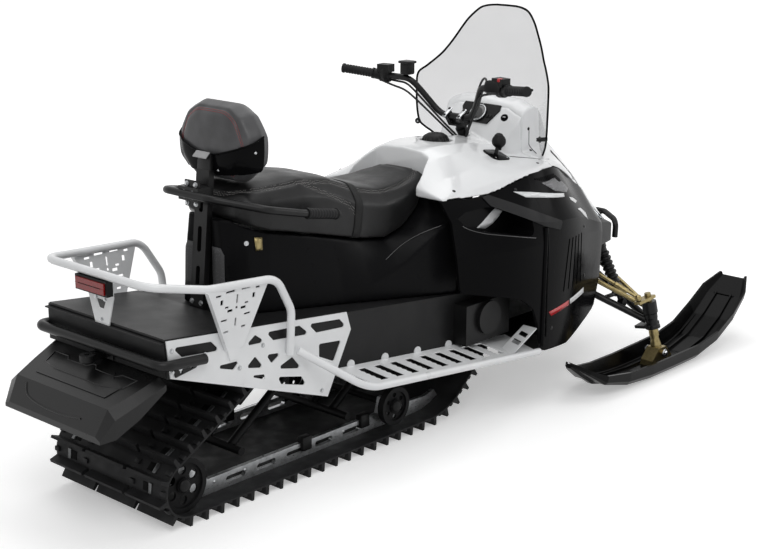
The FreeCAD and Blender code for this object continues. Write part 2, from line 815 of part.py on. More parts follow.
def rack():
    """The hoop round the load deck, its side plates and the deck."""
    rear_half = d.hoop_rear_half
    foot_y = FLANK + d.hoop_tube + d.fit
    tuck = 14
    drop = 28
    side = [(fwd(d.hoop_foot_x), foot_y, 468), (fwd(d.hoop_foot_x - 6), foot_y + tuck, 620),
            (fwd(325), HOOP_HALF, 742), (fwd(60), HOOP_HALF - tuck, d.hoop_z - drop),
            (fwd(d.hoop_rear), rear_half, d.hoop_z)]
    other = [(x, -y, z) for x, y, z in reversed(side)]
    hoop = tube("Rack_tube", side + other, d.hoop_tube, 80)
    plate_y = FLANK + d.fit
    lean = slope(HOOP_HALF - tuck / 2 - plate_y, d.hoop_z - drop - d.rack_foot_z)
    slots = [rectangle(fwd(x), z, wide, tall) for x, z, wide, tall in RACK_SLOTS]
    plate = side_plate("Rack_plate_sheet", 0, d.plate_thick, [[
        (fwd(40), 216), (fwd(140), 0), (fwd(215), 0), (fwd(300), 206)]] + slots)
    flange = side_plate("Rack_plate_flange", 0, 18, [[
        (fwd(40), 216), (fwd(140), 0), (fwd(144), 0), (fwd(44), 216)]])
    tab = side_plate("Rack_plate_tab", 0, d.plate_thick, [[
        (fwd(150), 2), (fwd(158), -36), (fwd(196), -36), (fwd(204), 2)]])
    for piece in (plate, flange):
        place(piece, 0, -plate_y, d.rack_foot_z, ACROSS, lean)
    place(tab, 0, -plate_y, d.rack_foot_z)
    plate = fused("Rack_plate_right", [plate, flange, tab])
    keep(fused("Rack_hoop", [hoop, plate, mirrored("Rack_plate_left", plate)]), "rack_hoop")
    rim = 4
    deck = block("Deck", 358, (TUNNEL_HALF - rim) * 2, 6, fwd(d.tunnel_rear), rim - TUNNEL_HALF,
                 d.tunnel_top, UPWARDS, d.pitch)
    keep(deck, "cargo_deck")


def tail():
    """Tail lamp in its housing, the bracket under it, rear bumper, tow hook and snow flap."""
    lamp_top = d.hoop_z - d.hoop_tube - d.fit
    face = d.hoop_rear + 8
    lamp = block("Tail_lens", 14, 140, 36, fwd(face - 30), -70, lamp_top - 42)
    keep(lamp, "tail_lamp")
    shell = block("Tail_housing_block", 24, 156, 48, fwd(face - 24 - d.fit), -78, lamp_top - 48)
    keep(cut("Tail_housing", shell, lamp), "tail_housing")
    foot = d.tunnel_top - 4 + d.fit
    tall = lamp_top - foot
    bracket = front_plate("Tail_bracket", d.plate_thick, [[
        (-62, tall), (-62, tall - 62), (-34, 0), (34, 0), (62, tall - 62), (62, tall)]], [
        [(-26, tall - 74), (26, tall - 74), (12, tall - 104), (-12, tall - 104)],
        [(-42, tall - 10), (42, tall - 10), (42, tall - 48), (-42, tall - 48)]], 5)
    run = d.hoop_rear + 18 - d.tunnel_rear + 9
    place(bracket, fwd(d.tunnel_rear - 9), 0, foot, UPWARDS, slope(run, tall))
    keep(cut("Tail_bracket_back", bracket, shell), "tail_bracket")
    tube_y = FLANK + d.bumper_tube + d.fit
    side = [(fwd(48), tube_y, d.bumper_z - 14), (fwd(d.bumper_x), tube_y, d.bumper_z)]
    other = [(x, -y, z) for x, y, z in reversed(side)]
    bar = tube("Rear_bumper_bar", side + other, d.bumper_tube, 36)
    ear = side_plate("Bumper_ear_right", -FLANK - d.fit, 6, [[
        (fwd(-64), d.bumper_z - 6), (fwd(-58), 506), (fwd(20), 518), (fwd(44), d.bumper_z - 16)]],
        [(fwd(-36), 518, 5), (fwd(4), 524, 5)])
    ears = [ear, mirrored("Bumper_ear_left", ear)]
    keep(fused("Rear_bumper", [bar] + ears), "rear_bumper")
    end_x = d.tunnel_rear - d.plate_thick - d.fit
    edge = 2
    end_plate = block("Tunnel_end_sheet", d.plate_thick, (TUNNEL_HALF - edge) * 2, 110, fwd(end_x),
                      edge - TUNNEL_HALF, d.plate_rear_low + 3)
    lip = block("Tunnel_end_lip", 16, (TUNNEL_HALF - edge) * 2, 4, fwd(end_x - 12),
                edge - TUNNEL_HALF, d.tunnel_top - 8)
    keep(fused("Tunnel_end_plate", [end_plate, lip]), "tunnel_end_plate")
    hook_x = end_x - 67
    plate = block("Hitch_plate", d.plate_thick, 90, 28, fwd(end_x - d.plate_thick - d.fit), -45, 510)
    arm = block("Hitch_arm", 46, 20, 26, fwd(hook_x + 16), -10, 511)
    eye = cylinder("Hitch_eye", 24, 20, fwd(hook_x), 0, 514)
    pin_hole = cylinder("Hitch_hole", 8.2, 40, fwd(hook_x), 0, 504)
    keep(cut("Hitch", fused("Hitch_all", [plate, arm, eye]), pin_hole), "hitch")


FLAP_SECTIONS = (
    # x, half width and height of the top's edge, of the side's upper edge and of its lower edge
    (-85.3, 262, 507.6, 288, 488, 288, 470), (-180, 246, 472, 276, 448, 278, 402),
    (-258, 228, 443, 262, 416, 262, 356), (-300, 218, 366, 240, 356, 240, 346))


def snow_flap():
    """The folded flap behind the track: a sloping top, slanted sides and a steep rear face."""
    outside = []
    inside = []
    wall = d.flap_wall
    for number, (x, top_y, top_z, side_y, side_z, low_y, low_z) in enumerate(FLAP_SECTIONS):
        outside.append((fwd(x), both_sides([(top_y, top_z), (side_y, side_z), (low_y, low_z)])))
        shift = (6, 3, 4, 8)[number]
        inside.append((fwd(x + shift), both_sides([
            (top_y - wall, top_z - wall), (side_y - wall, side_z - wall), (low_y - wall, low_z - 60)])))
    shell = cut("Flap_shell", loft("Flap_outside", outside), loft("Flap_inside", inside))
    rise = FLAP_SECTIONS[0][2] - FLAP_SECTIONS[2][2]
    run = FLAP_SECTIONS[0][0] - FLAP_SECTIONS[2][0]
    raised = flat_plate("Flap_panel", -wall / 2, wall / 2 + 2.5, [[
        (-150, -172), (-150, 172), (-92, 186), (-68, 120), (-44, 100), (-36, 60), (-36, -60),
        (-44, -100), (-68, -120), (-92, -186)]])
    place(raised, fwd(FLAP_SECTIONS[0][0]), 0, FLAP_SECTIONS[0][2], UPWARDS, -slope(rise, run))
    keep(fused("Snow_flap", [shell, raised]), "snow_flap")


SEAT_STATIONS = (
    # x, underside, top, half width; the base's half width at its foot and top, and its crease
    (348, 884, 958, 120, 128, 100, 114, 760), (385, 858, 982, 160, 152, 130, 144, 720),
    (463, 830, 985, 178, 165, 150, 160, 700), (619, 795, 988, 185, 185, 160, 180, 640),
    (759, 760, 962, 185, 202, 162, 200, 580), (880, 730, 916, 185, 222, 162, 226, 586),
    (1005, 708, 888, 180, 240, 158, 252, 634), (1108, 728, 892, 172, 258, 150, 276, 700),
    (1200, 780, 908, 158, 272, 138, 288, 752), (1275, 850, 925, 125, 278, 105, 288, 812))
WALL_X = 322


def seat(console_solid):
    """The long two-up seat on its moulded base, whose sides are creased where the knees rest."""
    cushion = []
    first = SEAT_STATIONS[0]
    base = [(fwd(WALL_X), both_sides([(112, level(d.tunnel_top + d.fit, WALL_X)), (92, first[7]),
                                      (70, first[1])]))]
    for x, low, high, wide, foot, shelf, crease, crease_z in SEAT_STATIONS:
        wide = d.seat_half * (wide / 185)
        tall = high - low
        cushion.append((fwd(x), both_sides([
            (wide - 8, low), (wide, low + 0.2 * tall), (wide, low + 0.7 * tall),
            (wide - 35, high - 8), (wide * 0.4, high)])))
        scale = d.base_half / 205
        base.append((fwd(x), both_sides([
            (scale * foot, level(d.tunnel_top + d.fit, x)), (scale * crease, crease_z),
            (scale * shelf, low - d.fit)])))
    keep(loft("Seat", cushion), "seat")
    base_solid = loft("Seat_base_solid", base)
    notch = block("Post_notch", 76, d.post_width + 4, 600, fwd(WALL_X - 60), d.post_width / -2 - 2, 560)
    base_solid = cut("Seat_base_notched", base_solid, notch)
    keep(cut("Seat_base", base_solid, console_solid), "seat_base")


GRIP_RIBS = 9


def backrest():
    """The pod-shaped backrest on its slotted post, and the grab rail clamped to the post."""
    half = d.post_width / 2
    tall = d.post_height
    slots = [rectangle(0, 100 + number * 130, half * 0.6, 84) for number in range(3)]
    post = front_plate("Post", 22, [[(-half, 0), (half, 0), (half, tall), (-half, tall)]], slots, 9)
    post_x = d.post_x - 20
    place(post, fwd(post_x), 0, level(d.tunnel_top, post_x) + d.fit, UPWARDS, d.post_tilt)
    keep(post, "backrest_post")
    cushion = []
    for x, wide, low, high in ((356, 112, 1020, 1215), (372, 142, 1000, 1240), (417, 160, 986, 1256),
                               (458, 150, 998, 1244), (478, 118, 1025, 1215)):
        wide = d.backrest_half * (wide / 160)
        cushion.append((fwd(x), both_sides([(wide * 0.66, low), (wide, low + 60), (wide, high - 95),
                                            (wide * 0.82, high - 30), (wide * 0.5, high)])))
    keep(loft("Backrest", cushion), "backrest_cushion")
    shell = []
    for x, wide, low, high in ((341, 80, 1000, 1120), (355.7, 105, 990, 1150)):
        shell.append((fwd(x), both_sides([(wide * 0.5, low), (wide, low + 50), (wide * 0.8, high)])))
    keep(cut("Backrest_shell_slot", loft("Backrest_shell", shell), post), "backrest_shell")
    grip_y = 240
    side = [(fwd(700), grip_y, 866), (fwd(536), grip_y, 896), (fwd(390), 232, 930), (fwd(262), 110, 966)]
    other = [(x, -y, z) for x, y, z in reversed(side)]
    rail = tube("Grab_rail", side + other, d.grab_tube, 60)
    keep(rail, "grab_rail")
    clamp = block("Rail_clamp", 55, 96, 44, fwd(262), -48, 945)
    keep(cut("Rail_clamp_cut", cut("Rail_clamp_post", clamp, post), rail), "rail_clamp")
    ribs = [(0, 17), (0.04, 19)]
    for number in range(GRIP_RIBS):
        share = 0.08 + 0.84 * number / GRIP_RIBS
        ribs += [(share, 16), (share + 0.03, 17.5), (share + 0.055, 17.5), (share + 0.08, 16)]
    ribs += [(0.95, 16), (0.96, 19), (1, 17)]
    grip = turned("Grab_grip_left", (fwd(552), grip_y, 893), (fwd(690), grip_y, 867.8), ribs)
    keep(pair("Grab_grips", cut("Grab_grip_bored", grip, rail)), "grab_grips")


SEAM_X = 1750
DECK_SECTIONS = (
    # x, then y and z from the belt line in to the crown, on the console and on the hood
    (1163, (300, 836), (285, 846), (230, 858), (180, 866), (100, 870), (0, 872)),
    (1275, (318, 838), (300, 857), (225, 897), (150, 950), (95, 974), (0, 980)),
    (1400, (338, 842), (318, 867), (235, 914), (165, 962), (110, 984), (0, 987)),
    (1500, (346, 862), (326, 881), (240, 920), (165, 955), (110, 978), (0, 984)),
    (1590, (350, 876), (330, 891), (245, 912), (165, 937), (110, 965), (0, 982)),
    (1680, (345, 880), (325, 894), (250, 906), (172, 917), (120, 950), (0, 985)),
    (SEAM_X, (338, 884), (318, 897), (250, 908), (180, 920), (125, 960), (0, 1000)))
HOOD_SECTIONS = (
    (SEAM_X, (338, 884), (318, 897), (250, 908), (180, 920), (125, 960), (0, 1000)),
    (1860, (300, 850), (284, 873), (232, 902), (180, 930), (120, 985), (0, 1012)),
    (1960, (272, 800), (256, 827), (205, 868), (155, 915), (100, 965), (0, 988)),
    (2080, (235, 725), (220, 751), (180, 800), (130, 850), (85, 885), (0, 897)),
    (2236, (220, 600), (205, 623), (170, 662), (120, 710), (70, 743), (0, 752)),
    (2400, (150, 515), (142, 528), (120, 556), (95, 585), (55, 607), (0, 612)))
COWL_REAR = (
    (1650, (150, 880), (140, 925), (110, 946), (0, 955)),
    (1700, (180, 880), (165, 985), (110, 1014), (0, 1020)),
    (SEAM_X, (190, 880), (186, 1052), (122, 1082), (0, 1088)))
COWL_FRONT = (
    (SEAM_X, (190, 880), (186, 1052), (122, 1082), (0, 1088)),
    (1790, (196, 880), (192, 1085), (130, 1109), (0, 1119)),
    (1840, (194, 870), (186, 1080), (125, 1103), (0, 1113)),
    (1900, (180, 860), (168, 1040), (112, 1064), (0, 1072)),
    (1970, (156, 830), (138, 975), (92, 996), (0, 1004)))


def crowned(name, sections, offset=0):
    """A solid through sections listed from one edge over the crown, closed by their mirror."""
    shapes = []
    for x, *half in sections:
        outline = [(y, z) for y, z in half] + [(-y, z) for y, z in half[-2::-1]]
        shapes.append((fwd(x + offset), outline))
        offset = 0
    return loft(name, shapes, ruled=False)


FUEL_CAP_X = 1466
FUEL_CAP_Z = 936


def console():
    """The tank cover before the rider, with the cap's well, the gear gate and the column's hole."""
    deck = crowned("Console_deck", DECK_SECTIONS)
    cowl = crowned("Cowl_rear", COWL_REAR)
    well = column_part("Column_well", 24, 6, 92)
    cap_well = cylinder("Cap_well", 62, 90, fwd(FUEL_CAP_X), 0, FUEL_CAP_Z - d.fit)
    gate = flat_plate("Gear_gate", 896, 200, [], [
        [(fwd(1546), -214), (fwd(1600), -222), (fwd(1634), -186), (fwd(1622), -150), (fwd(1556), -158)]])
    nose = SEAT_STATIONS[-1]
    room = flat_plate("Seat_room", 600, 600, [[
        (fwd(1000), -190), (fwd(1108), -176), (fwd(1200), -163), (fwd(nose[0] + d.fit), -130),
        (fwd(nose[0] + d.fit), 130), (fwd(1200), 163), (fwd(1108), 176), (fwd(1000), 190)]])
    solid = fused("Console_and_cowl", [deck, cowl])
    for number, tool in enumerate((well, cap_well, gate, room), start=1):
        solid = cut(f"Console_cut{number}", solid, tool)
    keep(solid, "console")
    return solid


def hood():
    """The hood from the seam before the bars down to the nose, with the raised dash fairing."""
    shell = crowned("Hood_shell", HOOD_SECTIONS, d.fit)
    cowl = crowned("Cowl_front", COWL_FRONT, d.fit)
    solid = fused("Hood", [shell, cowl])
    keep(solid, "hood")
    return solid


PANEL_SECTIONS = (
    # x, then z and y at the panel's foot, middle, shoulder and belt line
    (1130, (470, 326), (640, 332), (765, 326), (830, 290)),
    (1275, (440, 378), (640, 386), (765, 372), (833, 314)),
    (1400, (400, 420), (640, 430), (755, 412), (838, 334)),
    (1500, (300, 438), (640, 446), (735, 436), (857, 342)),
    (1590, (200, 444), (640, 450), (715, 446), (872, 346)),
    (1750, (190, 428), (630, 438), (700, 434), (880, 334)),
    (1860, (205, 402), (615, 412), (680, 404), (846, 296)),
    (1960, (240, 374), (600, 382), (650, 374), (796, 268)),
    (2120, (295, 326), (560, 332), (600, 324), (690, 226)))
POCKET_PLANE = 338
POCKET = (
    (1184, 792), (1215, 752), (1290, 722), (1390, 700), (1512, 674), (1500, 745), (1440, 784), (1330, 800))
POCKET_RIM = (
    (1170, 808), (1206, 742), (1286, 711), (1388, 689), (1526, 660), (1512, 753), (1446, 794), (1332, 812))
LOUVRES = 5
GRILLE_BARS = 17


def skin(name, inner, outer):
    """The left flank as a shell between two distances out from its surface."""
    sections = []
    for x, *rows in PANEL_SECTIONS:
        outside = [(y + outer, z) for z, y in rows]
        inside = [(y + inner, z) for z, y in reversed(rows)]
        sections.append((fwd(x), outside + inside))
    return loft(name, sections, ruled=False)


def prism(name, corners, inner_y=0, rounding=20):
    """A block through the left flank, from a distance off the middle outwards, by its side view."""
    outline = [(fwd(x), z) for x, z in corners]
    beyond = 520
    return side_plate(name, beyond, beyond - inner_y, [], (), [outline], rounding)


def side_panels(console_solid, hood_solid):
    """Side panels with their pockets, vent panels with louvres and grilles, and the latch straps."""
    seam = d.seam
    foot = 221
    above = 960
    whole = skin("Flank", -d.skin, 0)
    rear = common("Panel_rear", whole, prism("Panel_outline", [
        (1140, above), (1204, 506), (1262, 492), (1373, 468), (1455, 444), (1515, 400), (1545, 330),
        (seam - 16, foot + 30), (seam, foot), (seam, above)], 0, 26))
    pan = common("Pocket_pan", skin("Flank_thick", -120, 0),
                 prism("Pocket_rim", POCKET_RIM, POCKET_PLANE - 8))
    rear = fused("Panel_with_pan", [rear, pan])
    rear = cut("Panel_pocket", rear, prism("Pocket_room", POCKET, POCKET_PLANE))
    bead = rod("Seam_bead", (fwd(seam - 9), 447, 244), (fwd(seam - 9), 450, 700), 8)
    rear = fused("Panel_beaded", [rear, bead])
    rear = cut("Panel_under_console", rear, console_solid)
    keep(pair("Side_panels", rear), "side_panels")
    front = common("Panel_front", whole, prism("Vent_outline", [
        (seam + 0.5, above), (seam + 0.5, foot), (1750, 209), (1960, 256), (2036, 276), (2090, 392),
        (2096, 520), (2097, above)], 0, 14))
    tools = []
    for number in range(LOUVRES):
        top = 1732 + 27.5 * number
        low = 1705 + 38.5 * number
        corners = [(low - 5, 425), (low + 5, 425), (top + 5, 626), (top - 5, 626)]
        tools.append(prism(f"Louvre{number + 1}", corners, 200, 5))
    for number in range(GRILLE_BARS):
        x = 1612 + 10.5 * number
        high = min(862, 862 - (x - 1735) * 0.6)
        low = 856 - (x - 1612) * 0.26
        corners = [(x, low), (x + 6, low - 1), (x + 6, high), (x, high)]
        tools.append(prism(f"Grille{number + 1}", corners, 200, 2))
    front = cut("Vent_open", front, fused("Vent_tools", tools))
    front = cut("Vent_under_console", cut("Vent_under_hood", front, hood_solid), console_solid)
    keep(pair("Vent_panels", front), "vent_panels")
    strap = common("Strap", skin("Flank_outside", d.fit, 6), prism("Strap_outline", [
        (1338, 836), (1352, 802), (1560, 706), (1656, 676), (1668, 708), (1580, 744), (1366, 838)], 200, 8))
    strap = cut("Strap_bead", strap, bead)
    strap = cut("Strap_console", strap, console_solid)
    keep(pair("Panel_latches", strap), "panel_latches")


def underside(hood_solid):
    """Nose, belly pan, the engine as one block and the drive case."""
    nose = []
    for x, points in (
            (2098.5, [(190, 300), (205, 470), (318, 500), (318, 600), (226, 680)]),
            (2250, [(185, 300), (195, 470), (280, 495), (280, 570), (212, 588)]),
            (2420, [(120, 340), (135, 455), (150, 480), (150, 500), (140, 505)])):
        nose.append((fwd(x), both_sides(points)))
    passage = block("Rod_passage", 66, 900, 112, fwd(2090), -450, 385)
    nose = cut("Nose_under_hood", loft("Nose", nose), hood_solid)
    keep(cut("Nose_open", nose, passage), "nose")
    sheet_thick = 8
    belly = []
    for x, half, z in ((1582, 426, 222), (1750, 410, 209), (1960, 358, 255), (2036, 336, 274)):
        belly.append((fwd(x), [(half, z), (half, z - sheet_thick), (-half, z - sheet_thick), (-half, z)]))
    keep(loft("Belly", belly), "belly_pan")
    front = SPROCKET_X + d.sprocket_radius + GROUND_RUN + 69
    over_track = d.sprocket_z + d.sprocket_radius + GROUND_RUN + 4
    floor = d.engine_top - 360
    engine = side_plate("Engine", 170, 340, [[
        (fwd(TUNNEL_FRONT + d.fit), over_track), (fwd(front), over_track), (fwd(front), floor),
        (fwd(d.engine_front), floor), (fwd(d.engine_front), d.engine_top),
        (fwd(TUNNEL_FRONT + d.fit), d.engine_top)]])
    keep(engine, "engine")
    case_y = TUNNEL_HALF + d.fit
    case = block("Drive_case_block", 250, 60, 150, fwd(SPROCKET_X - 194), -(case_y + 60), 298)
    drum = cylinder("Drive_drum", 62, 15, fwd(SPROCKET_X - 74), -(case_y + 60), 385, ACROSS, 90)
    keep(fused("Drive_case", [case, drum]), "drive_case")


def fittings(console_solid, hood_solid):
    """Fuel cap, dash bezel with its gauge, and the gear lever in its gate."""
    cap = lathe("Fuel_cap", [(0, 0), (52, 0), (54, 10), (52, 20), (46, 32), (36, 42), (22, 50), (0, 53)])
    keep(place(cap, fwd(FUEL_CAP_X), 0, FUEL_CAP_Z), "fuel_cap")
    bezel = front_plate("Bezel", 46, [[(-58, 0), (58, 0), (92, 62), (88, 84), (-88, 84), (-92, 62)]])
    place(bezel, fwd(1695), 0, 1022, UPWARDS, 40)
    gauge = cylinder("Gauge", 30, 26, fwd(1737), 0, 1041, UPWARDS, -50)
    dash = cut("Dash_on_console", fused("Dash", [bezel, gauge]), console_solid)
    keep(cut("Dash_pod", dash, hood_solid), "dash_pod")
    boot = lathe("Gear_boot", [(0, 0), (26, 0), (20, 10), (10, 22), (8, 24), (6, 80), (0, 80)])
    boot.Placement = FreeCAD.Placement(Vector(float(fwd(1592)), -184, 896.5),
                                       FreeCAD.Rotation(Vector(0, 1, 0), 14))
    knob = lathe("Gear_knob", [(0, 0), (10, 2), (18, 12), (21, 24), (18, 36), (10, 45), (0, 47)])
    knob.Placement = FreeCAD.Placement(Vector(float(fwd(1609)), -184, 964),
                                       FreeCAD.Rotation(Vector(0, 1, 0), 14))
    keep(cut("Gear_lever", fused("Gear_lever_all", [boot, knob]), console_solid), "gear_lever")


def front_details(hood_solid):
    """Headlamps under the hood's front edge and the front bumper's bar."""
    nose_solid = doc.getObject("Nose_open")
    lamp = loft("Headlamp_left", [
        (fwd(2190), [(215, 592), (272, 566), (272, 606), (218, 640)]),
        (fwd(2345), [(130, 508), (198, 508), (198, 540), (134, 566)])])
    lamp = cut("Headlamp_seat", cut("Headlamp_back", lamp, nose_solid), hood_solid)
    keep(pair("Headlamps", lamp), "headlamps")
    side = [(fwd(2392), 205, 470), (fwd(2396), 205, 540), (fwd(2450), 110, 556)]
    other = [(x, -y, z) for x, y, z in reversed(side)]
    bar = tube("Front_bumper_bar", side + other, 12, 40)
    stays = [rod("Bumper_stay_" + word, (fwd(2380), 90 * sign, 470), (fwd(2450), 90 * sign, 556), 10)
             for word, sign in (("left", 1), ("right", -1))]
    keep(cut("Front_bumper", fused("Front_bumper_all", [bar] + stays), nose_solid), "front_bumper")


SCREEN_LEVELS = (
    # z, then x on the middle line and x and half width at the wings' edges
    (902, 1999, 1800, 250), (938, 1993, 1752, 296), (985, 1985, 1734, 315), (1090, 1966, 1730, 320),
    (1181, 1948, 1730, 321), (1222, 1939, 1757, 292), (1262, 1930, 1796, 243), (1304, 1921, 1829, 210),
    (1367, 1905, 1847, 163), (1425, 1889, 1861, 120), (1451, 1881, 1867, 90))


def windshield(console_solid, hood_solid):
    """The wrapped clear screen: a thin curved sheet through level sections, narrow at its top."""
    outlines = []
    for number, (z, front_x, wing_x, wing_y) in enumerate(SCREEN_LEVELS, start=1):
        sketch = doc.addObject("Sketcher::SketchObject", f"Screen_section{number}")
        sketch.Placement = FreeCAD.Placement(Vector(0, 0, z), FreeCAD.Rotation())
        front = Vector(float(fwd(front_x)), 0, 0)
        left = Vector(float(fwd(wing_x)), wing_y, 0)
        right = Vector(left.x, -wing_y, 0)
        shift = Vector(float(d.screen_thick), 0, 0)
        inner_left = left - shift * 0.5 - Vector(0, float(d.screen_thick), 0) * 0.8
        inner_right = Vector(inner_left.x, -inner_left.y, 0)
        sketch.addGeometry([Part.Arc(left, front, right), Part.LineSegment(right, inner_right),
                            Part.Arc(inner_right, front - shift, inner_left),
                            Part.LineSegment(inner_left, left)], False)
        outlines.append(sketch)
    body = doc.addObject("Part::Loft", "Windshield")
    body.Sections = outlines
    body.Solid = True
    body.Ruled = True
    body = cut("Windshield_foot", body, hood_solid)
    keep(cut("Windshield_wings", body, console_solid), "windshield")


def column_part(name, radius, top, foot):
    """A cylinder on the leaning steering axis, between two distances down from the bar."""
    lean = d.column_lean
    x = fwd(d.bar_centre_x) + foot * sine(lean)
    z = d.bar_centre_z - foot * cosine(lean)
    return cylinder(name, radius, foot - top, x, 0, z, UPWARDS, -lean)


def steering():
    """Handlebar, grips, levers and riser, which turn together about the leaning column."""
    x, z = d.bar_centre_x, d.bar_centre_z
    inner = (fwd(1498), 288, 1193)
    tip = (fwd(1434), 446, 1211)
    side = [tip, inner, (fwd(1543), 172, 1145), (fwd(x), 70, z)]
    other = [(px, -py, pz) for px, py, pz in reversed(side)]
    bar = tube("Handlebar", side + other, d.bar_tube, 45)
    keep(bar, "handlebar")
    grip_start = (fwd(1482), 327, 1197.4)
    grip_end = (fwd(1433), 448, 1211.3)
    ribs = [(0, 21), (0.05, 21), (0.07, 17)]
    for number in range(GRIP_RIBS):
        share = 0.1 + 0.8 * number / GRIP_RIBS
        ribs += [(share, 16), (share + 0.03, 17.5), (share + 0.055, 17.5), (share + 0.08, 16)]
    ribs += [(0.93, 17), (0.95, 19), (1, 18)]
    grip = turned("Grip_left", grip_start, grip_end, ribs)
    keep(pair("Bar_grips", cut("Grip_bored", grip, bar)), "bar_grips")
    pod = turned("Switch_left", (fwd(1508), 262, 1184), (fwd(1483), 325, 1197),
                 [(0, 16), (0.12, 22), (0.6, 24), (0.62, 20), (1, 20)])
    box = block("Reservoir_left", 44, 52, 30, fwd(1478), 252, 1206, (0, 0, 1), 8)
    neck = cylinder("Reservoir_neck", 9, 26, fwd(1500), 282, 1188)
    lever_path = [(fwd(1500), 292, 1192), (fwd(1536), 312, 1196), (fwd(1492), 424, 1208)]
    lever = tube("Lever_left", lever_path, 5, 22)
    controls = cut("Switch_bored", fused("Switch_and_lever", [pod, box, neck, lever]), bar)
    keep(pair("Hand_controls", controls), "hand_controls")
    lean = d.column_lean
    column = column_part("Column", 16, 22, 91.7)
    boot = column_part("Column_boot", 22, 52, 84)
    pieces = [column, boot]
    back = 15
    foot_x = fwd(x) + 34 * sine(lean) - back * cosine(lean)
    foot_z = z - 34 * cosine(lean) - back * sine(lean)
    for word, y in (("left", 26), ("right", -42)):
        pieces.append(block("Riser_" + word, 2 * back, 16, 52, foot_x, y, foot_z, UPWARDS, -lean))
    pieces.append(block("Riser_base", 2 * back, 84, 10, foot_x, -42, foot_z, UPWARDS, -lean))
    keep(cut("Riser_cut", fused("Riser_all", pieces), bar), "steering_riser")


SHOCK_COILS = 9


def front_end():
    """Arms, knuckles and shocks, the left side and its mirror."""
    nose_solid = doc.getObject("Nose_open")
    top = 206
    bore = rod("Knuckle_bore", kingpin_point(60), kingpin_point(280), d.kingpin_radius + d.fit)
    shell = turned("Knuckle_tube", kingpin_point(92), kingpin_point(top), [
        (0, 30), (0.1, 30), (0.14, 24), (0.34, 24), (0.4, 26), (0.54, 26), (0.58, 30), (1, 30)])
    flange = doc.addObject("Part::Box", "Knuckle_flange")
    flange.Length = 76
    flange.Width = 70
    flange.Height = 12
    up, back, across = kingpin_axes()
    flange.Placement = FreeCAD.Placement(kingpin_point(100) + back * -38 + across * -8,
                                         FreeCAD.Rotation(back, across, up))
    knuckle = cut("Knuckle_left", fused("Knuckle_casting", [shell, flange]), bore)
    seat_tool = fused("Knuckle_clear", [
        rod("Knuckle_clear_core", kingpin_point(40), kingpin_point(280), 30.1), flange])
    low = kingpin_point(112)
    high = kingpin_point(175)
    lower = fused("Lower_arm_left_all", [
        rod("Lower_arm_rear", (fwd(2140), 165, 318), low, d.arm_tube),
        rod("Lower_arm_front", (fwd(2335), 165, 318), low, d.arm_tube),
        rod("Lower_arm_brace", (fwd(2196), 290, 262), (fwd(2306), 290, 262), 9)])
    lower = cut("Lower_arm_left_nose", cut("Lower_arm_left_seat", lower, seat_tool), nose_solid)
    upper = fused("Upper_arm_left_all", [
        rod("Upper_arm_rear", (fwd(2158), 170, 372), high, 10),
        rod("Upper_arm_front", (fwd(2335), 170, 372), high, 10)])
    upper = cut("Upper_arm_left_nose", cut("Upper_arm_left_seat", upper, seat_tool), nose_solid)
    coils = [(0, 12), (0.06, 12), (0.07, 20)]
    for number in range(SHOCK_COILS):
        share = 0.1 + 0.62 * number / SHOCK_COILS
        coils += [(share, 20), (share + 0.02, 25), (share + 0.045, 25), (share + 0.06, 20)]
    coils += [(0.76, 20), (0.78, 24), (1, 24)]
    shock = turned("Shock_left_body", (fwd(2246.5), 345, 256), (fwd(2232), 215, 520), coils)
    eye = cylinder("Shock_left_eye", 17, 26, fwd(2246), 364, 248, ACROSS, 90)
    shock = cut("Shock_left_nose", fused("Shock_left_all", [shock, eye]), nose_solid)
    shock = cut("Shock_left_arm", cut("Shock_left_upper", shock, upper), lower)
    for word, thing in (("knuckles", knuckle), ("lower_arms", lower), ("upper_arms", upper),
                        ("shocks", shock)):
        keep(pair(word.capitalize() + "_both", thing), word)


def kingpin_axes():
    """The left kingpin's up direction, its steering arm's rearward direction and their normal."""
    lean = math.radians(float(d.kingpin_lean))
    rake = math.radians(float(d.kingpin_rake))
    up = Vector(-math.sin(rake), -math.sin(lean), 0)
    up.z = math.sqrt(1 - up.x ** 2 - up.y ** 2)
    back = Vector(-up.z, 0, up.x).normalize()
    return up, back, up.cross(back)


def tie_rods():
    """The rods from the hidden steering relay to each steering arm, each a body of its own."""
    up, back, across = kingpin_axes()
    ball = kingpin_point(228) + back * float(d.steering_arm) + up * 13.3
    inner = Vector(float(fwd(2122)), 120, 448)
    rod_profile = [(0, 7), (0.7, 7), (0.71, 10), (0.86, 10), (0.87, 7), (1, 7)]
    stem = turned("Tie_rod_left_stem", inner, ball, rod_profile)
    end = turned("Tie_rod_left_end", ball - up * 12.5, ball + up * 12, [
        (0, 9), (0.15, 13), (0.5, 14), (0.85, 12), (1, 7)])
    thing = fused("Tie_rod_left_all", [stem, end])
    keep(thing, "tie_rod_left")
    keep(mirrored("Tie_rod_right_all", thing), "tie_rod_right")


def kingpin_point(along):
    """A point on the left kingpin's axis, at a distance up from the ski's pivot bolt."""
    base = Vector(float(fwd(d.pivot_x)), float(d.ski_y), float(d.pivot_z))
    return base + kingpin_axes()[0] * along


SKI_STATIONS = (
    # x, half width, height of the underside and rise of the rim
    (1662, 12, 146, 14), (1730, 62, 98, 22), (1810, 88, 46, 40), (1950, 98, 12, 55),
    (2110, 103, 0, 62), (2281, 106, 0, 64), (2440, 110, 4, 62), (2580, 112, 34, 56),
    (2700, 112, 96, 50), (2800, 104, 172, 40), (2872, 66, 240, 20))
SKI_RIBS = (-38, 38)


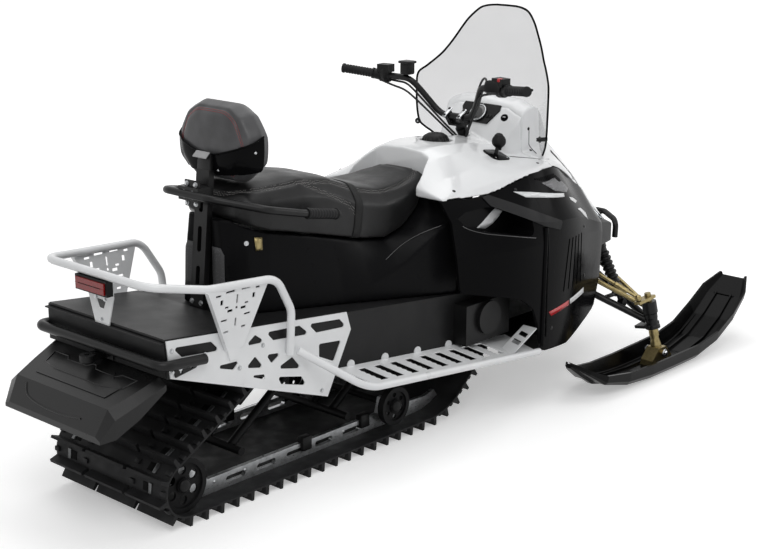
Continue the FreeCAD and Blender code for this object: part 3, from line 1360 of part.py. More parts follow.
def ski():
    """One moulded ski: a dished blade with a keel, ribs, a raised pointed tail and an upturned tip."""
    wall = d.ski_wall
    middle = d.ski_y
    keel = 10
    sections = []
    for x, wide, low, rise in SKI_STATIONS:
        wide = d.ski_half * (wide / 112)
        edge = as_size(low) + keel
        rim = edge + rise
        sections.append((fwd(x), [
            (middle + wide, rim), (middle + wide * 0.94, edge + rise * 0.3), (middle + wide * 0.8, edge),
            (middle + 16, edge), (middle + 10, low), (middle - 10, low), (middle - 16, edge),
            (middle - wide * 0.8, edge), (middle - wide * 0.94, edge + rise * 0.3), (middle - wide, rim),
            (middle - wide + 10, rim), (middle - wide * 0.74, edge + wall * 0.6),
            (middle + wide * 0.74, edge + wall * 0.6), (middle + wide - 10, rim)]))
    blade = loft("Ski_left_blade", sections)
    ribs = []
    for number, offset in enumerate(SKI_RIBS, start=1):
        rib = []
        for x, wide, low, rise in SKI_STATIONS[3:10]:
            floor = low + keel + float(wall) * 0.6
            y = middle + offset * wide / 112
            rib.append((fwd(x), [(y + 6, floor - 2), (y - 6, floor - 2),
                                 (y - 3, floor + 10), (y + 3, floor + 10)]))
        ribs.append(loft(f"Ski_rib{number}", rib))
    blade = fused("Ski_left_ribbed", [blade] + ribs)
    keep(blade, "ski_left")
    keep(mirrored("Ski_right_ribbed", blade), "ski_right")
    up, back, across = kingpin_axes()
    leg = turned("Kingpin_leg_left", kingpin_point(-20), kingpin_point(242), [
        (0, 22), (0.16, 22), (0.26, 17), (0.4, 16), (0.41, 13), (1, 13)])
    saddle = side_plate("Saddle_left", d.ski_y + 28, 56, [[
        (fwd(d.pivot_x - 74), 14), (fwd(d.pivot_x - 70), 40), (fwd(d.pivot_x - 26), 84),
        (fwd(d.pivot_x + 26), 84), (fwd(d.pivot_x + 70), 40), (fwd(d.pivot_x + 74), 14)]])
    bolt = cylinder("Pivot_bolt_left", 11, 78, fwd(d.pivot_x), d.ski_y + 39, d.pivot_z - 8, ACROSS, 90)
    arm = flat_plate("Steering_arm_left", 0, 12, [[
        (-22, -22), (22, -22), (d.steering_arm + 14, -13), (d.steering_arm + 14, 13), (22, 22), (-22, 22)]])
    arm.Placement = FreeCAD.Placement(kingpin_point(216), FreeCAD.Rotation(back, across, up))
    collar = rod("Kingpin_collar_left", kingpin_point(60), kingpin_point(91.5), 20)
    pieces = [leg, collar, saddle, bolt, arm]
    thing = cut("Kingpin_left_seat", fused("Kingpin_left_all", pieces), blade)
    keep(thing, "kingpin_left")
    keep(mirrored("Kingpin_right_all", thing), "kingpin_right")


def write_parts():
    """Recompute, look for failures and write one file for each piece."""
    doc.recompute()
    for thing in doc.Objects:
        for word in ("Invalid", "Error"):
            if word in thing.State:
                raise RuntimeError(f"{thing.Name} ({thing.Label}) is {thing.State}")
    for thing in PARTS:
        if thing.Shape.isNull() or not thing.Shape.isValid() or not thing.Shape.Solids:
            raise RuntimeError(f"{thing.Label} has no valid solid")
    os.makedirs("parts", exist_ok=True)
    for thing in PARTS:
        thing.Shape.exportStep(f"parts/{thing.Label}.step")
        print(thing.Label, len(thing.Shape.Solids), round(thing.Shape.Volume / 1000), "cm3")


track()
track_wheels()
rails()
suspension_arms()
tunnel()
side_plates()
running_boards()
rack()
tail()
snow_flap()
console_solid = console()
hood_solid = hood()
seat(console_solid)
backrest()
side_panels(console_solid, hood_solid)
underside(hood_solid)
fittings(console_solid, hood_solid)
front_details(hood_solid)
windshield(console_solid, hood_solid)
steering()
front_end()
tie_rods()
ski()
write_parts()
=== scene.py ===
"""The looks of a two-seat utility snowmobile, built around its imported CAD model."""
import json
import math

import bmesh
import bpy
from bpy.props import FloatProperty, FloatVectorProperty, PointerProperty
from mathutils import Matrix, Vector
from mathutils.bvhtree import BVHTree
from mathutils.kdtree import KDTree


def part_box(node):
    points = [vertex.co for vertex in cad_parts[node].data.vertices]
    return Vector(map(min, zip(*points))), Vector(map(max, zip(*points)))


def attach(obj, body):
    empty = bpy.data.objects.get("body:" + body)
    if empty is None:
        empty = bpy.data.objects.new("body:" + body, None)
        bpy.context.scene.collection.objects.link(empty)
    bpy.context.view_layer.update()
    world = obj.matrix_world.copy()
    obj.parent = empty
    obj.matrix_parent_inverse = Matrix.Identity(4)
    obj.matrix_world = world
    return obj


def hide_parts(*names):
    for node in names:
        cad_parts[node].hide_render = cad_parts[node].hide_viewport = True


bl_info = {
    "name": "Utility Snowmobile",
    "version": (1, 0, 0),
    "blender": (4, 5, 0),
    "location": "3D View > Sidebar > Snowmobile",
    "description": "Finishes and small forms of a two-seat utility snowmobile",
    "category": "Object",
}

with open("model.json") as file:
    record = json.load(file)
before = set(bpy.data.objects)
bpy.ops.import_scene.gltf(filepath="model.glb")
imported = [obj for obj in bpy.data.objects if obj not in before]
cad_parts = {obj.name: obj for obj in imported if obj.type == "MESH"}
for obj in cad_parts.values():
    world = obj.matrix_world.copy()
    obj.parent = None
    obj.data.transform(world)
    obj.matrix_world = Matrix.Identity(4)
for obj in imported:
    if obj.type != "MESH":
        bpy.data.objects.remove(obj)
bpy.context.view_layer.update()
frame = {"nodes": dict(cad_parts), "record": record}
REAR_AXLE = -1.286
# Millimetres out to the side, clear of every flank.
BESIDE = 620
AHEAD, LEFT, UP = Vector((1, 0, 0)), Vector((0, 1, 0)), Vector((0, 0, 1))
SIDES = ((-1, "right"), (1, "left"))
FINISH_OF = {"steering_riser": "black_paint"}
# Radius of the sewing thread, in metres.
THREAD = 0.0007
# Filled while the scene is built: materials by finish, surfaces and stand-in pieces by CAD node.
FINISHES, SKINS, STAND_INS = {}, {}, {}
# A laid patch's grid and its distance from what it lies on, in metres.
PATCH_STEP, PATCH_LIFT = 0.02, 0.0003
CLOTH_FRAMES = 20
QUICK_SWELL, HEM_SWELL = 0.6, 0.15


def along(distance):
    """Place along the machine, from its distance in front of the rear axle, in metres."""
    return REAR_AXLE + distance


def spot(x, y, z):
    """A point given in millimetres: ahead of the rear axle, to the left, and up."""
    return Vector((along(x / 1000), y / 1000, z / 1000))


def spots(*places):
    return [spot(*place) for place in places]


def beside(side, places, reach=BESIDE):
    """Points out to one side, from their places along the machine and up."""
    return [spot(x, side * reach, z) for x, z in places]


def mirrored(points):
    return [Vector((point.x, -point.y, point.z)) for point in points]


def colour(name, value, description):
    return FloatVectorProperty(name=name, description=description, subtype="COLOR", size=3,
                               min=0.0, max=1.0, default=value)


class SnowmobileColours(bpy.types.PropertyGroup):
    paint: colour("White paint", (0.80, 0.81, 0.82), "Boards, flank plates and rack")
    body: colour("Body white", (0.80, 0.81, 0.82), "Console and hood")
    gloss: colour("Body black", (0.0040, 0.0040, 0.0044), "Side panels and seat base")
    plastic: colour("Grained plastic", (0.006, 0.006, 0.0062), "Nose, flap and small mouldings")
    rubber: colour("Rubber", (0.008, 0.008, 0.0085), "Track, grips and boots")
    leather: colour("Seat cover", (0.0065, 0.0065, 0.0068), "Seat and backrest")
    satin: colour("Satin black", (0.006, 0.006, 0.0063), "Tubes and brackets")
    zinc: colour("Yellow zinc", (0.31, 0.25, 0.12), "Steering parts")
    silver: colour("Bare alloy", (0.46, 0.47, 0.48), "Rails and risers")
    lens: colour("Tail lens", (0.24, 0.004, 0.004), "Tail lamp")
    stripe: colour("White stripes", (0.78, 0.79, 0.80), "Stripes on the side panels")
    accent: colour("Red accents", (0.50, 0.015, 0.02), "Red band, red thread and stop switch")


class SnowmobileSizes(bpy.types.PropertyGroup):
    grain: FloatProperty(name="Plastic grain", description="Spacing of the moulded grain",
                         default=0.0012, min=0.0003, max=0.01, unit="LENGTH")


class Finish:
    """A material in the making: its node tree, its shader and the object's own coordinates."""

    def __init__(self, name):
        self.material = bpy.data.materials.new(name)
        self.material.use_nodes = True
        self.tree = self.material.node_tree
        self.shader = self.tree.nodes["Principled BSDF"]
        self.place = self.tree.nodes.new("ShaderNodeTexCoord").outputs["Object"]

    def fill(self, sockets, values):
        """Give sockets their values, or link them to what gives them."""
        for key, value in values.items():
            socket = sockets[key.replace("_", " ")]
            if isinstance(value, bpy.types.NodeSocket):
                self.tree.links.new(value, socket)
            else:
                socket.default_value = value

    def node(self, kind, **inputs):
        made = self.tree.nodes.new(kind)
        self.fill(made.inputs, inputs)
        return made

    def set(self, **values):
        self.fill(self.shader.inputs, values)

    def noise(self, size, detail=2.0):
        """Cloudy variation whose blotches are about that size, in metres."""
        return self.node("ShaderNodeTexNoise", Vector=self.place, Scale=1.0 / size,
                         Detail=detail).outputs["Fac"]

    def cells(self, size):
        return self.node("ShaderNodeTexVoronoi", Vector=self.place, Scale=1.0 / size).outputs["Distance"]

    def spread(self, source, low, high, start=0.3, end=0.7):
        """Turn a 0 to 1 pattern into numbers between low and high."""
        return self.node("ShaderNodeMapRange", Value=source, From_Min=start, From_Max=end, To_Min=low,
                         To_Max=high).outputs["Result"]

    def shades(self, source, dark, light, start=0.3, end=0.7):
        """Turn a 0 to 1 pattern into colours between two shades."""
        ramp = self.node("ShaderNodeValToRGB", Fac=source)
        for element, place, shade in zip(ramp.color_ramp.elements, (start, end), (dark, light)):
            element.position = place
            element.color = (*shade, 1)
        return ramp.outputs["Color"]

    def bumps(self, height, depth, strength=1.0, below=None):
        """Raise the surface by a pattern, over another bump where one is given."""
        over = {} if below is None else {"Normal": below}
        return self.node("ShaderNodeBump", Height=height, Distance=depth, Strength=strength,
                         **over).outputs["Normal"]


def scaled(shade, factor):
    return tuple(min(1.0, part * factor) for part in shade)


def painted(f, shade, rough, coat, speckle, shine=0.5):
    """Baked paint on metal: faint orange peel, slight dust in the broad areas."""
    cloud = f.noise(0.09, 3.0)
    peel = f.noise(speckle, 1.0)
    f.set(Base_Color=f.shades(cloud, scaled(shade, 0.93), shade),
          Roughness=f.spread(cloud, rough * 0.85, rough * 1.2),
          Coat_Weight=coat, Coat_Roughness=0.12, Specular_IOR_Level=shine,
          Normal=f.bumps(peel, 0.0001, 0.35))


def moulded(f, shade, rough, grain, shine=0.25):
    """Grained plastic: fine pebbling with a soft sheen."""
    cloud = f.noise(0.12, 3.0)
    pebble = f.cells(grain)
    f.set(Base_Color=f.shades(cloud, scaled(shade, 0.8), scaled(shade, 1.25)),
          Roughness=f.spread(cloud, rough * 0.9, rough * 1.15), Specular_IOR_Level=shine,
          Normal=f.bumps(pebble, 0.00012, 0.5))


def glossy(f, shade, rough, shine=0.5, coat=0.5):
    """Polished plastic with a faint moulding waviness."""
    cloud = f.noise(0.2, 2.0)
    f.set(Base_Color=f.shades(cloud, scaled(shade, 0.95), scaled(shade, 1.03)),
          Roughness=f.spread(f.noise(0.04, 4.0), rough, rough * 1.6), Specular_IOR_Level=shine,
          Coat_Weight=coat, Coat_Roughness=0.04,
          Normal=f.bumps(f.noise(0.03, 1.0), 0.0002, 0.12))


def metal(f, shade, rough, stretch):
    """Bare or plated metal with drawn streaks."""
    drawn = f.node("ShaderNodeMapping", Vector=f.place, Scale=stretch).outputs["Vector"]
    streak = f.node("ShaderNodeTexNoise", Vector=drawn, Scale=60.0, Detail=3.0).outputs["Fac"]
    cloud = f.noise(0.02, 3.0)
    f.set(Base_Color=f.shades(cloud, scaled(shade, 0.75), scaled(shade, 1.1)),
          Metallic=1.0, Roughness=f.spread(streak, rough * 0.7, rough * 1.3),
          Normal=f.bumps(streak, 0.00005, 0.3))


def rubbery(f, shade, shine=0.2):
    """Moulded rubber: dusty, with a rough skin."""
    cloud = f.noise(0.05, 4.0)
    f.set(Base_Color=f.shades(cloud, scaled(shade, 0.7), scaled(shade, 1.5)),
          Roughness=f.spread(cloud, 0.5, 0.75), Specular_IOR_Level=shine,
          Normal=f.bumps(f.noise(0.002, 4.0), 0.0003, 0.5))


def leathery(f, shade, shine):
    """Coated seat cover: wrinkled cells over soft hollows."""
    cell = f.cells(0.0035)
    fine = f.noise(0.0012, 3.0)
    soft = f.bumps(f.noise(0.06, 2.0), 0.0015, 0.5)
    f.set(Base_Color=f.shades(f.noise(0.08, 4.0), scaled(shade, 0.8), scaled(shade, 1.4)),
          Roughness=f.spread(f.noise(0.05, 3.0), 0.32, 0.46), Specular_IOR_Level=shine,
          Sheen_Weight=0.03,
          Normal=f.bumps(fine, 0.0002, 0.3, f.bumps(cell, 0.0006, 0.35, soft)))


def clear(f, tint, rough):
    """Clear sheet: thin, hardly bending light, with a faint haze."""
    haze = f.noise(0.15, 3.0)
    f.set(Base_Color=f.shades(haze, scaled(tint, 0.97), tint), Transmission_Weight=1.0, IOR=1.1,
          Roughness=f.spread(haze, rough, rough * 2.0), Specular_IOR_Level=0.4)


def threaded(f, shade):
    """Twisted sewing thread."""
    twist = f.noise(0.0012, 2.0)
    f.set(Base_Color=f.shades(twist, scaled(shade, 0.6), scaled(shade, 1.2)), Roughness=0.75,
          Sheen_Weight=0.2, Normal=f.bumps(twist, 0.0003, 0.6))


def webbing(f, shade):
    """Woven strap: fine ribs across a coarse weave."""
    rib = f.node("ShaderNodeTexWave", Vector=f.place, Scale=180.0, Distortion=1.0).outputs["Fac"]
    weave = f.cells(0.002)
    f.set(Base_Color=f.shades(rib, scaled(shade, 0.6), scaled(shade, 1.5)), Roughness=0.62,
          Specular_IOR_Level=0.2, Normal=f.bumps(rib, 0.0004, 0.6, f.bumps(weave, 0.0003, 0.4)))


def meshed(f, shade, hole):
    """Pressed grille: bright bars over dark slots."""
    bars = f.node("ShaderNodeTexWave", Vector=f.place, Scale=0.314 / hole).outputs["Fac"]
    strand = f.spread(bars, 0.0, 1.0, 0.45, 0.7)
    f.set(Base_Color=f.shades(strand, (0.004, 0.004, 0.004), shade, 0.2, 0.8), Metallic=strand,
          Roughness=0.4, Specular_IOR_Level=0.2, Normal=f.bumps(strand, 0.0008, 0.8))


def speckled(f, shade, fleck):
    """Dark insert with scattered light flecks."""
    flecks = f.cells(fleck)
    f.set(Base_Color=f.shades(flecks, scaled(shade, 3.0), shade, 0.12, 0.2), Roughness=0.6,
          Specular_IOR_Level=0.2, Normal=f.bumps(flecks, 0.0006, 0.4))


def lens(f, shade):
    """Ribbed tail lens."""
    ribs = f.cells(0.00625)
    f.set(Base_Color=f.shades(ribs, scaled(shade, 0.6), shade, 0.1, 0.6), Roughness=0.2,
          Coat_Weight=0.3, Coat_Roughness=0.05, Specular_IOR_Level=0.3,
          Normal=f.bumps(ribs, 0.0006, 0.4))


def make_finishes(colours, sizes):
    """One material for each finish of the machine."""
    grain = sizes.grain
    for make, name, *values in (
            (painted, "white_paint", colours.paint, 0.32, 0.3, 0.0015),
            (glossy, "white_gloss", colours.body, 0.16),
            (glossy, "black_gloss", colours.gloss, 0.12, 0.03, 0.0),
            (moulded, "dark_plastic", colours.plastic, 0.42, grain, 0.16),
            (moulded, "flap_rubber", scaled(colours.plastic, 0.7), 0.3, grain, 0.3),
            (moulded, "ski_plastic", scaled(colours.plastic, 0.4), 0.22, grain * 2, 0.08),
            (painted, "black_paint", colours.satin, 0.34, 0.0, 0.0012, 0.22),
            (painted, "dark_steel", colours.satin, 0.5, 0.0, 0.001, 0.12),
            (painted, "dark_alloy", scaled(colours.satin, 1.4), 0.45, 0.0, 0.001, 0.15),
            (moulded, "deck_grey", scaled(colours.plastic, 1.2), 0.45, grain, 0.3),
            (rubbery, "track_rubber", colours.rubber),
            (rubbery, "wheel_rubber", scaled(colours.rubber, 0.7), 0.12),
            (rubbery, "grip_rubber", colours.rubber),
            (rubbery, "rubber_hose", scaled(colours.rubber, 0.7), 0.4),
            (leathery, "seat_leather", colours.leather, 0.22),
            # The backrest cover is the seat leather made eight times lighter: painted light, standing for the
            # light from above and the sheen on its dome.
            (leathery, "back_leather", scaled(colours.leather, 8.0), 0.35),
            (metal, "rail_silver", colours.silver, 0.35, (1, 1, 8)),
            (metal, "bright_alloy", colours.silver, 0.3, (8, 1, 1)),
            (metal, "engine_alloy", scaled(colours.silver, 0.3), 0.5, (1, 1, 1)),
            (metal, "zinc_gold", colours.zinc, 0.38, (1, 6, 1)),
            (lens, "lamp_red", colours.lens),
            (clear, "lamp_clear", (0.9, 0.93, 0.95), 0.02),
            (glossy, "gauge_glass", scaled(colours.gloss, 2.0), 0.05, 0.5, 0.4),
            (moulded, "tab_grey", (0.34, 0.34, 0.345), 0.35, grain),
            (glossy, "seat_base_black", scaled(colours.gloss, 1.2), 0.26, 0.04, 0.0),
            # A lighter, shinier copy of the body black for beads along edges: painted highlight on the pocket
            # rim and the seat base fold.
            (glossy, "edge_gloss", scaled(colours.gloss, 2.0), 0.16, 0.6, 0.3),
            (clear, "clear_screen", (0.63, 0.63, 0.635), 0.02),
            (painted, "stripe_white", colours.stripe, 0.3, 0.3, 0.002),
            (painted, "stripe_red", colours.accent, 0.3, 0.3, 0.002),
            (meshed, "mesh_metal", (0.30, 0.30, 0.31), 0.007),
            (painted, "seam_dark", (0.03, 0.03, 0.03), 0.6, 0.0, 0.001, 0.2),
            (threaded, "thread_grey", (0.30, 0.29, 0.28)),
            (threaded, "thread_red", scaled(colours.accent, 0.7)),
            (webbing, "strap_webbing", (0.012, 0.012, 0.012)),
            (speckled, "speckled_grey", (0.07, 0.07, 0.072), 0.006),
            # Near black for the track's windows: painted shade where the belt's holes show the dark inside.
            (rubbery, "window_dark", (0.002, 0.002, 0.002), 0.05)):
        f = Finish(name)
        make(f, *values)
        FINISHES[name] = f.material


def dress(thing, finish):
    thing.data.materials.clear()
    thing.data.materials.append(FINISHES[finish])


def linked(name, data):
    thing = bpy.data.objects.new(name, data)
    bpy.context.scene.collection.objects.link(thing)
    return thing


def shown(name, mesh, finish, body):
    """Put a mesh in the scene as a piece that moves with a body."""
    thing = linked(name, mesh)
    dress(thing, finish)
    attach(thing, body)
    return thing


def piece(name, work, finish, body="chassis", crease=35):
    """Finish a bmesh as a piece: smooth, with its sharper edges kept crisp."""
    mesh = bpy.data.meshes.new(name)
    work.to_mesh(mesh)
    work.free()
    mesh.shade_smooth()
    mesh.set_sharp_from_angle(angle=math.radians(crease))
    return shown(name, mesh, finish, body)


def baked(holder):
    """The mesh of a helper object with its modifiers applied. The helper goes."""
    view = bpy.context.evaluated_depsgraph_get()
    mesh = bpy.data.meshes.new_from_object(holder.evaluated_get(view), depsgraph=view)
    bpy.data.objects.remove(holder)
    return mesh


def lines(name, runs, smooth, detail, radius=0.0):
    """The mesh of lines through those points, round bars where a radius is given."""
    curve = bpy.data.curves.new(name, "CURVE")
    curve.dimensions = "3D"
    curve.bevel_depth = radius
    curve.bevel_resolution = 2
    curve.resolution_u = detail
    curve.use_fill_caps = True
    for points in runs:
        spline = curve.splines.new("NURBS" if smooth else "POLY")
        spline.points.add(len(points) - 1)
        for knot, point in zip(spline.points, points):
            knot.co = (*point, 1)
        if smooth:
            spline.order_u = 3
            spline.use_endpoint_u = True
    return baked(linked(name, curve))


def rods(name, runs, radius, finish, body="chassis", smooth=True):
    """Round bars, hoses or beads, each along its own points."""
    mesh = lines(name, runs, smooth, 6, radius)
    work = bmesh.new()
    work.from_mesh(mesh)
    bpy.data.meshes.remove(mesh)
    welded(work)
    return piece(name, work, finish, body, 50)


def skin(node):
    """The surface of a CAD node, or of the piece that stands for it."""
    if node not in SKINS:
        view = bpy.context.evaluated_depsgraph_get()
        SKINS[node] = BVHTree.FromObject(STAND_INS.get(node, frame["nodes"][node]), view)
    return SKINS[node]


def meet(nodes, start, way):
    """Where a line first meets one of those nodes, and which way the surface faces there."""
    hits = []
    for node in nodes:
        point, normal, face, reach = skin(node).ray_cast(start, way)
        if point is not None:
            hits.append((reach, point, normal))
    if not hits:
        raise RuntimeError(f"nothing of {nodes} lies beyond {tuple(start)} towards {tuple(way)}")
    reach, point, normal = min(hits, key=lambda hit: hit[0])
    return point, -normal if normal.dot(way) > 0 else normal


def near(nodes, start, way, middle):
    """As meet, but past an edge the surface point nearest to the line at its patch's depth."""
    try:
        return meet(nodes, start, way)
    except RuntimeError:
        depth = (meet(nodes, middle, way)[0] - middle).dot(way)
    best = min((skin(node).find_nearest(start + way * depth) for node in nodes), key=lambda hit: hit[3])
    point, normal = best[:2]
    return point, -normal if normal.dot(way) > 0 else normal


def facing(normal, point):
    """A placement whose Z leaves a surface."""
    return Matrix.Translation(point) @ normal.to_track_quat("Z", "Y").to_matrix().to_4x4()


def welded(work, reach=1e-6):
    """Join corners that lie together, and turn a closed form's faces outwards."""
    bmesh.ops.remove_doubles(work, verts=work.verts, dist=reach)
    bmesh.ops.recalc_face_normals(work, faces=work.faces)


def outward(work, way):
    """Turn an open skin's faces so that together they face along a direction."""
    work.normal_update()
    if sum((face.normal * face.calc_area() for face in work.faces), Vector()).dot(way) < 0:
        bmesh.ops.reverse_faces(work, faces=work.faces[:])


def walled(thing, thickness):
    """Give an open skin its wall, inwards."""
    wall = thing.modifiers.new("Wall", "SOLIDIFY")
    wall.thickness = thickness
    wall.offset = -1


def laid(name, outline, nodes, way, finish, thick=0.0008):
    """A thin patch with that outline, pressed along a direction onto the surfaces that lie there."""
    work = bmesh.new()
    work.faces.new([work.verts.new(point) for point in outline])
    middle = sum(outline, Vector()) / len(outline)
    for axis, across in enumerate((AHEAD, LEFT, UP)):
        if abs(way[axis]) > 0.7:
            continue
        low, high = (pick(point[axis] for point in outline) for pick in (min, max))
        count = int((high - low) / PATCH_STEP) + 1
        for number in range(1, count):
            place = middle.copy()
            place[axis] = low + number * (high - low) / count
            bmesh.ops.bisect_plane(work, geom=work.verts[:] + work.edges[:] + work.faces[:],
                                   plane_co=place, plane_no=across)
    for corner in work.verts:
        point, normal = near(nodes, corner.co, way, middle)
        corner.co = point + normal * (PATCH_LIFT + thick)
    bmesh.ops.triangulate(work, faces=work.faces[:])
    outward(work, -way)
    walled(piece(name, work, finish), thick)


def beads(name, runs, nodes, way, radius, finish, body="chassis"):
    """Thin round beads pressed along a direction onto the surfaces that lie there."""
    sunk = way * radius * 0.2
    pressed = [[meet(nodes, point, way)[0] - sunk for point in points] for points in runs]
    return rods(name, pressed, radius, finish, body)


def bolts(name, places, radius, height, finish, body="chassis", sides=6):
    """Screw heads with washers, each at a point and facing away from what it clamps."""
    work = bmesh.new()
    for point, normal in places:
        seat = facing(normal, point)
        bmesh.ops.create_cone(work, cap_ends=True, segments=16, radius1=radius * 1.5, radius2=radius * 1.42,
                              depth=height * 0.4, matrix=seat @ Matrix.Translation((0, 0, height * 0.2)))
        bmesh.ops.create_cone(work, cap_ends=True, segments=sides, radius1=radius, radius2=radius * 0.86,
                              depth=height * 0.8, matrix=seat @ Matrix.Translation((0, 0, height * 0.8)))
    return piece(name, work, finish, body, 25)


def domes(name, places, radius, height, finish, body="chassis"):
    """Rivet heads or plugs: low domes, each at a point and facing away from what carries it."""
    work = bmesh.new()
    for point, normal in places:
        flat = facing(normal, point) @ Matrix.Diagonal((radius, radius, height, 1.0))
        bmesh.ops.create_uvsphere(work, u_segments=12, v_segments=8, radius=1.0, matrix=flat)
    return piece(name, work, finish, body, 80)


def rings(name, places, radius, thick, finish):
    """Round beads, each about a point's facing direction."""
    work = bmesh.new()
    for point, normal in places:
        seat = facing(normal, point)
        start = Matrix.Translation(seat @ Vector((radius, 0, 0))) @ seat.to_3x3().to_4x4()
        loop = bmesh.ops.create_circle(work, cap_ends=False, segments=10, radius=thick,
                                       matrix=start @ Matrix.Rotation(math.radians(90), 4, "X"))["verts"]
        edges = [edge for edge in work.edges if edge.verts[0] in loop and edge.verts[1] in loop]
        bmesh.ops.spin(work, geom=loop + edges, cent=point, axis=normal, angle=math.tau, steps=36,
                       use_merge=True)
    welded(work)
    piece(name, work, finish, crease=60)


def rounded(work, edges, offset, segments=2):
    bmesh.ops.bevel(work, geom=edges, offset=offset, offset_type="OFFSET", segments=segments, profile=0.5,
                    affect="EDGES", material=-1)


def plates(name, places, size, rounding, finish, body="chassis"):
    """Small rounded blocks, each at a placement and of its length, width and height."""
    work = bmesh.new()
    for seat in places:
        made = bmesh.ops.create_cube(work, size=1.0, matrix=seat @ Matrix.Diagonal((*size, 1.0)))
        rounded(work, list({edge for corner in made["verts"] for edge in corner.link_edges}), rounding)
    return piece(name, work, finish, body)


def placed(place, angle=0.0, axis="Z"):
    """A placement at a point in millimetres, turned about an axis."""
    return Matrix.Translation(spot(*place)) @ Matrix.Rotation(angle, 4, axis)


def spun(centre, profile, steps):
    """A bmesh from a profile of radii and heights in millimetres, spun about an upright line."""
    work = bmesh.new()
    line = [work.verts.new((centre.x + radius / 1000, centre.y, z / 1000)) for radius, z in profile]
    edges = [work.edges.new(pair) for pair in zip(line, line[1:])]
    bmesh.ops.spin(work, geom=line + edges, cent=(centre.x, centre.y, 0), axis=UP, angle=math.tau,
                   steps=steps, use_merge=True)
    bmesh.ops.remove_doubles(work, verts=work.verts, dist=1e-5)
    return work


def remeshed(name, node, voxel):
    """An even skin of small faces over a CAD node's solid, for shapes that swell or soften."""
    work = bmesh.new()
    work.from_mesh(frame["nodes"][node].data)
    welded(work, 1e-5)
    mesh = bpy.data.meshes.new(name)
    work.to_mesh(mesh)
    holder = linked(name, mesh)
    even = holder.modifiers.new("Even", "REMESH")
    even.mode = "VOXEL"
    even.voxel_size = voxel
    fine = baked(holder)
    work.clear()
    work.from_mesh(fine)
    return fine, work


def smoothed(work, rounds):
    for number in range(rounds):
        bmesh.ops.smooth_vert(work, verts=work.verts, factor=0.5, use_axis_x=True, use_axis_y=True,
                              use_axis_z=True)


def stands_in(thing, node):
    """Let later pieces find their place on the piece that is shown for a CAD node."""
    STAND_INS[node] = thing
    SKINS.pop(node, None)


def softened(name, node, voxel, rounds, finish):
    """A moulding with soft edges that stands for a CAD node: an even skin, eased round by round."""
    fine, work = remeshed(name + "_even", node, voxel)
    smoothed(work, rounds)
    bmesh.ops.recalc_face_normals(work, faces=work.faces)
    thing = piece(name, work, finish, crease=60)
    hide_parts(node)
    stands_in(thing, node)


def eased(mesh, values, rounds):
    """Values at a mesh's vertices, evened out with their neighbours' round by round."""
    pairs = [tuple(edge.vertices) for edge in mesh.edges]
    for number in range(rounds):
        sums, counts = values[:], [1] * len(values)
        for one, other in pairs:
            sums[one] += values[other]
            sums[other] += values[one]
            counts[one] += 1
            counts[other] += 1
        values = [total / count for total, count in zip(sums, counts)]
    return values


def swelling(start, pressure, cap):
    """How far each point of a skin moves outwards in a short cloth run under air pressure."""
    holder = linked("swelling", start.copy())
    cloth = holder.modifiers.new("Cloth", "CLOTH")
    cloth.settings.use_pressure = True
    cloth.settings.uniform_pressure_force = pressure
    cloth.settings.effector_weights.gravity = 0.0
    cloth.settings.quality = 4
    cloth.collision_settings.use_collision = False
    cloth.point_cache.frame_start = 1
    cloth.point_cache.frame_end = CLOTH_FRAMES
    for number in range(1, CLOTH_FRAMES + 1):
        bpy.context.scene.frame_set(number)
    swollen = baked(holder)
    bpy.context.scene.frame_set(1)
    return [min(max((corner.co - home.co).dot(home.normal), 0.0), cap)
            for corner, home in zip(swollen.vertices, start.vertices)]


def sewn(work, seams, width, depth):
    """Press grooves into a skin along its seams."""
    skin_tree = BVHTree.FromBMesh(work)
    points = [skin_tree.find_nearest(point)[0] for run in seams for point in run]
    tree = KDTree(len(points))
    for number, point in enumerate(points):
        tree.insert(point, number)
    tree.balance()
    work.normal_update()
    depths = [depth * math.exp(-(tree.find(corner.co)[2] / width) ** 2) for corner in work.verts]
    for corner, groove in zip(work.verts, depths):
        corner.co -= corner.normal * groove


def padded(name, node, voxel, inset, pressure, cap, seams, seam_width, seam_depth, hold, calm,
           widen=0.0, finish="seat_leather"):
    """A padded form over a node's solid: swollen by a short cloth run, sewn in along its seams.

    Faces that look further down than hold are its hem. The form is wider in the middle of its height by
    the share widen.
    """
    start, work = remeshed(name + "_start", node, voxel)
    work.normal_update()
    low, high = (pick(corner.co.z for corner in work.verts) for pick in (min, max))
    for corner in work.verts:
        corner.co -= corner.normal * inset
        corner.co.y *= 1 + widen * (1 - ((2 * corner.co.z - high - low) / (high - low)) ** 2)
    smoothed(work, 6)
    work.to_mesh(start)
    homes = [(corner.co.copy(), corner.normal.copy()) for corner in start.vertices]
    swell = [value if way.z >= hold else value * HEM_SWELL
             for value, (home, way) in zip(swelling(start, pressure, cap), homes)]
    for corner, value, (home, way) in zip(start.vertices, eased(start, swell, calm), homes):
        corner.co = home + way * value
    work.clear()
    work.from_mesh(start)
    smoothed(work, 3)
    bmesh.ops.subdivide_edges(work, edges=work.edges[:], cuts=1, use_grid_fill=True, smooth=0.0)
    smoothed(work, 2)
    sewn(work, seams, seam_width, seam_depth)
    bmesh.ops.recalc_face_normals(work, faces=work.faces)
    thing = piece(name, work, finish, crease=80)
    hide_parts(node)
    stands_in(thing, node)


def spaced(points, gap):
    """Points an even gap apart along a smooth line through those points."""
    line = [corner.co.copy() for corner in lines("line", [points], True, 24).vertices]
    even = [line[0]]
    walked = 0.0
    for before, after in zip(line, line[1:]):
        length = (after - before).length
        while length > 0 and walked + length >= gap * len(even):
            even.append(before.lerp(after, (gap * len(even) - walked) / length))
        walked += length
    return even


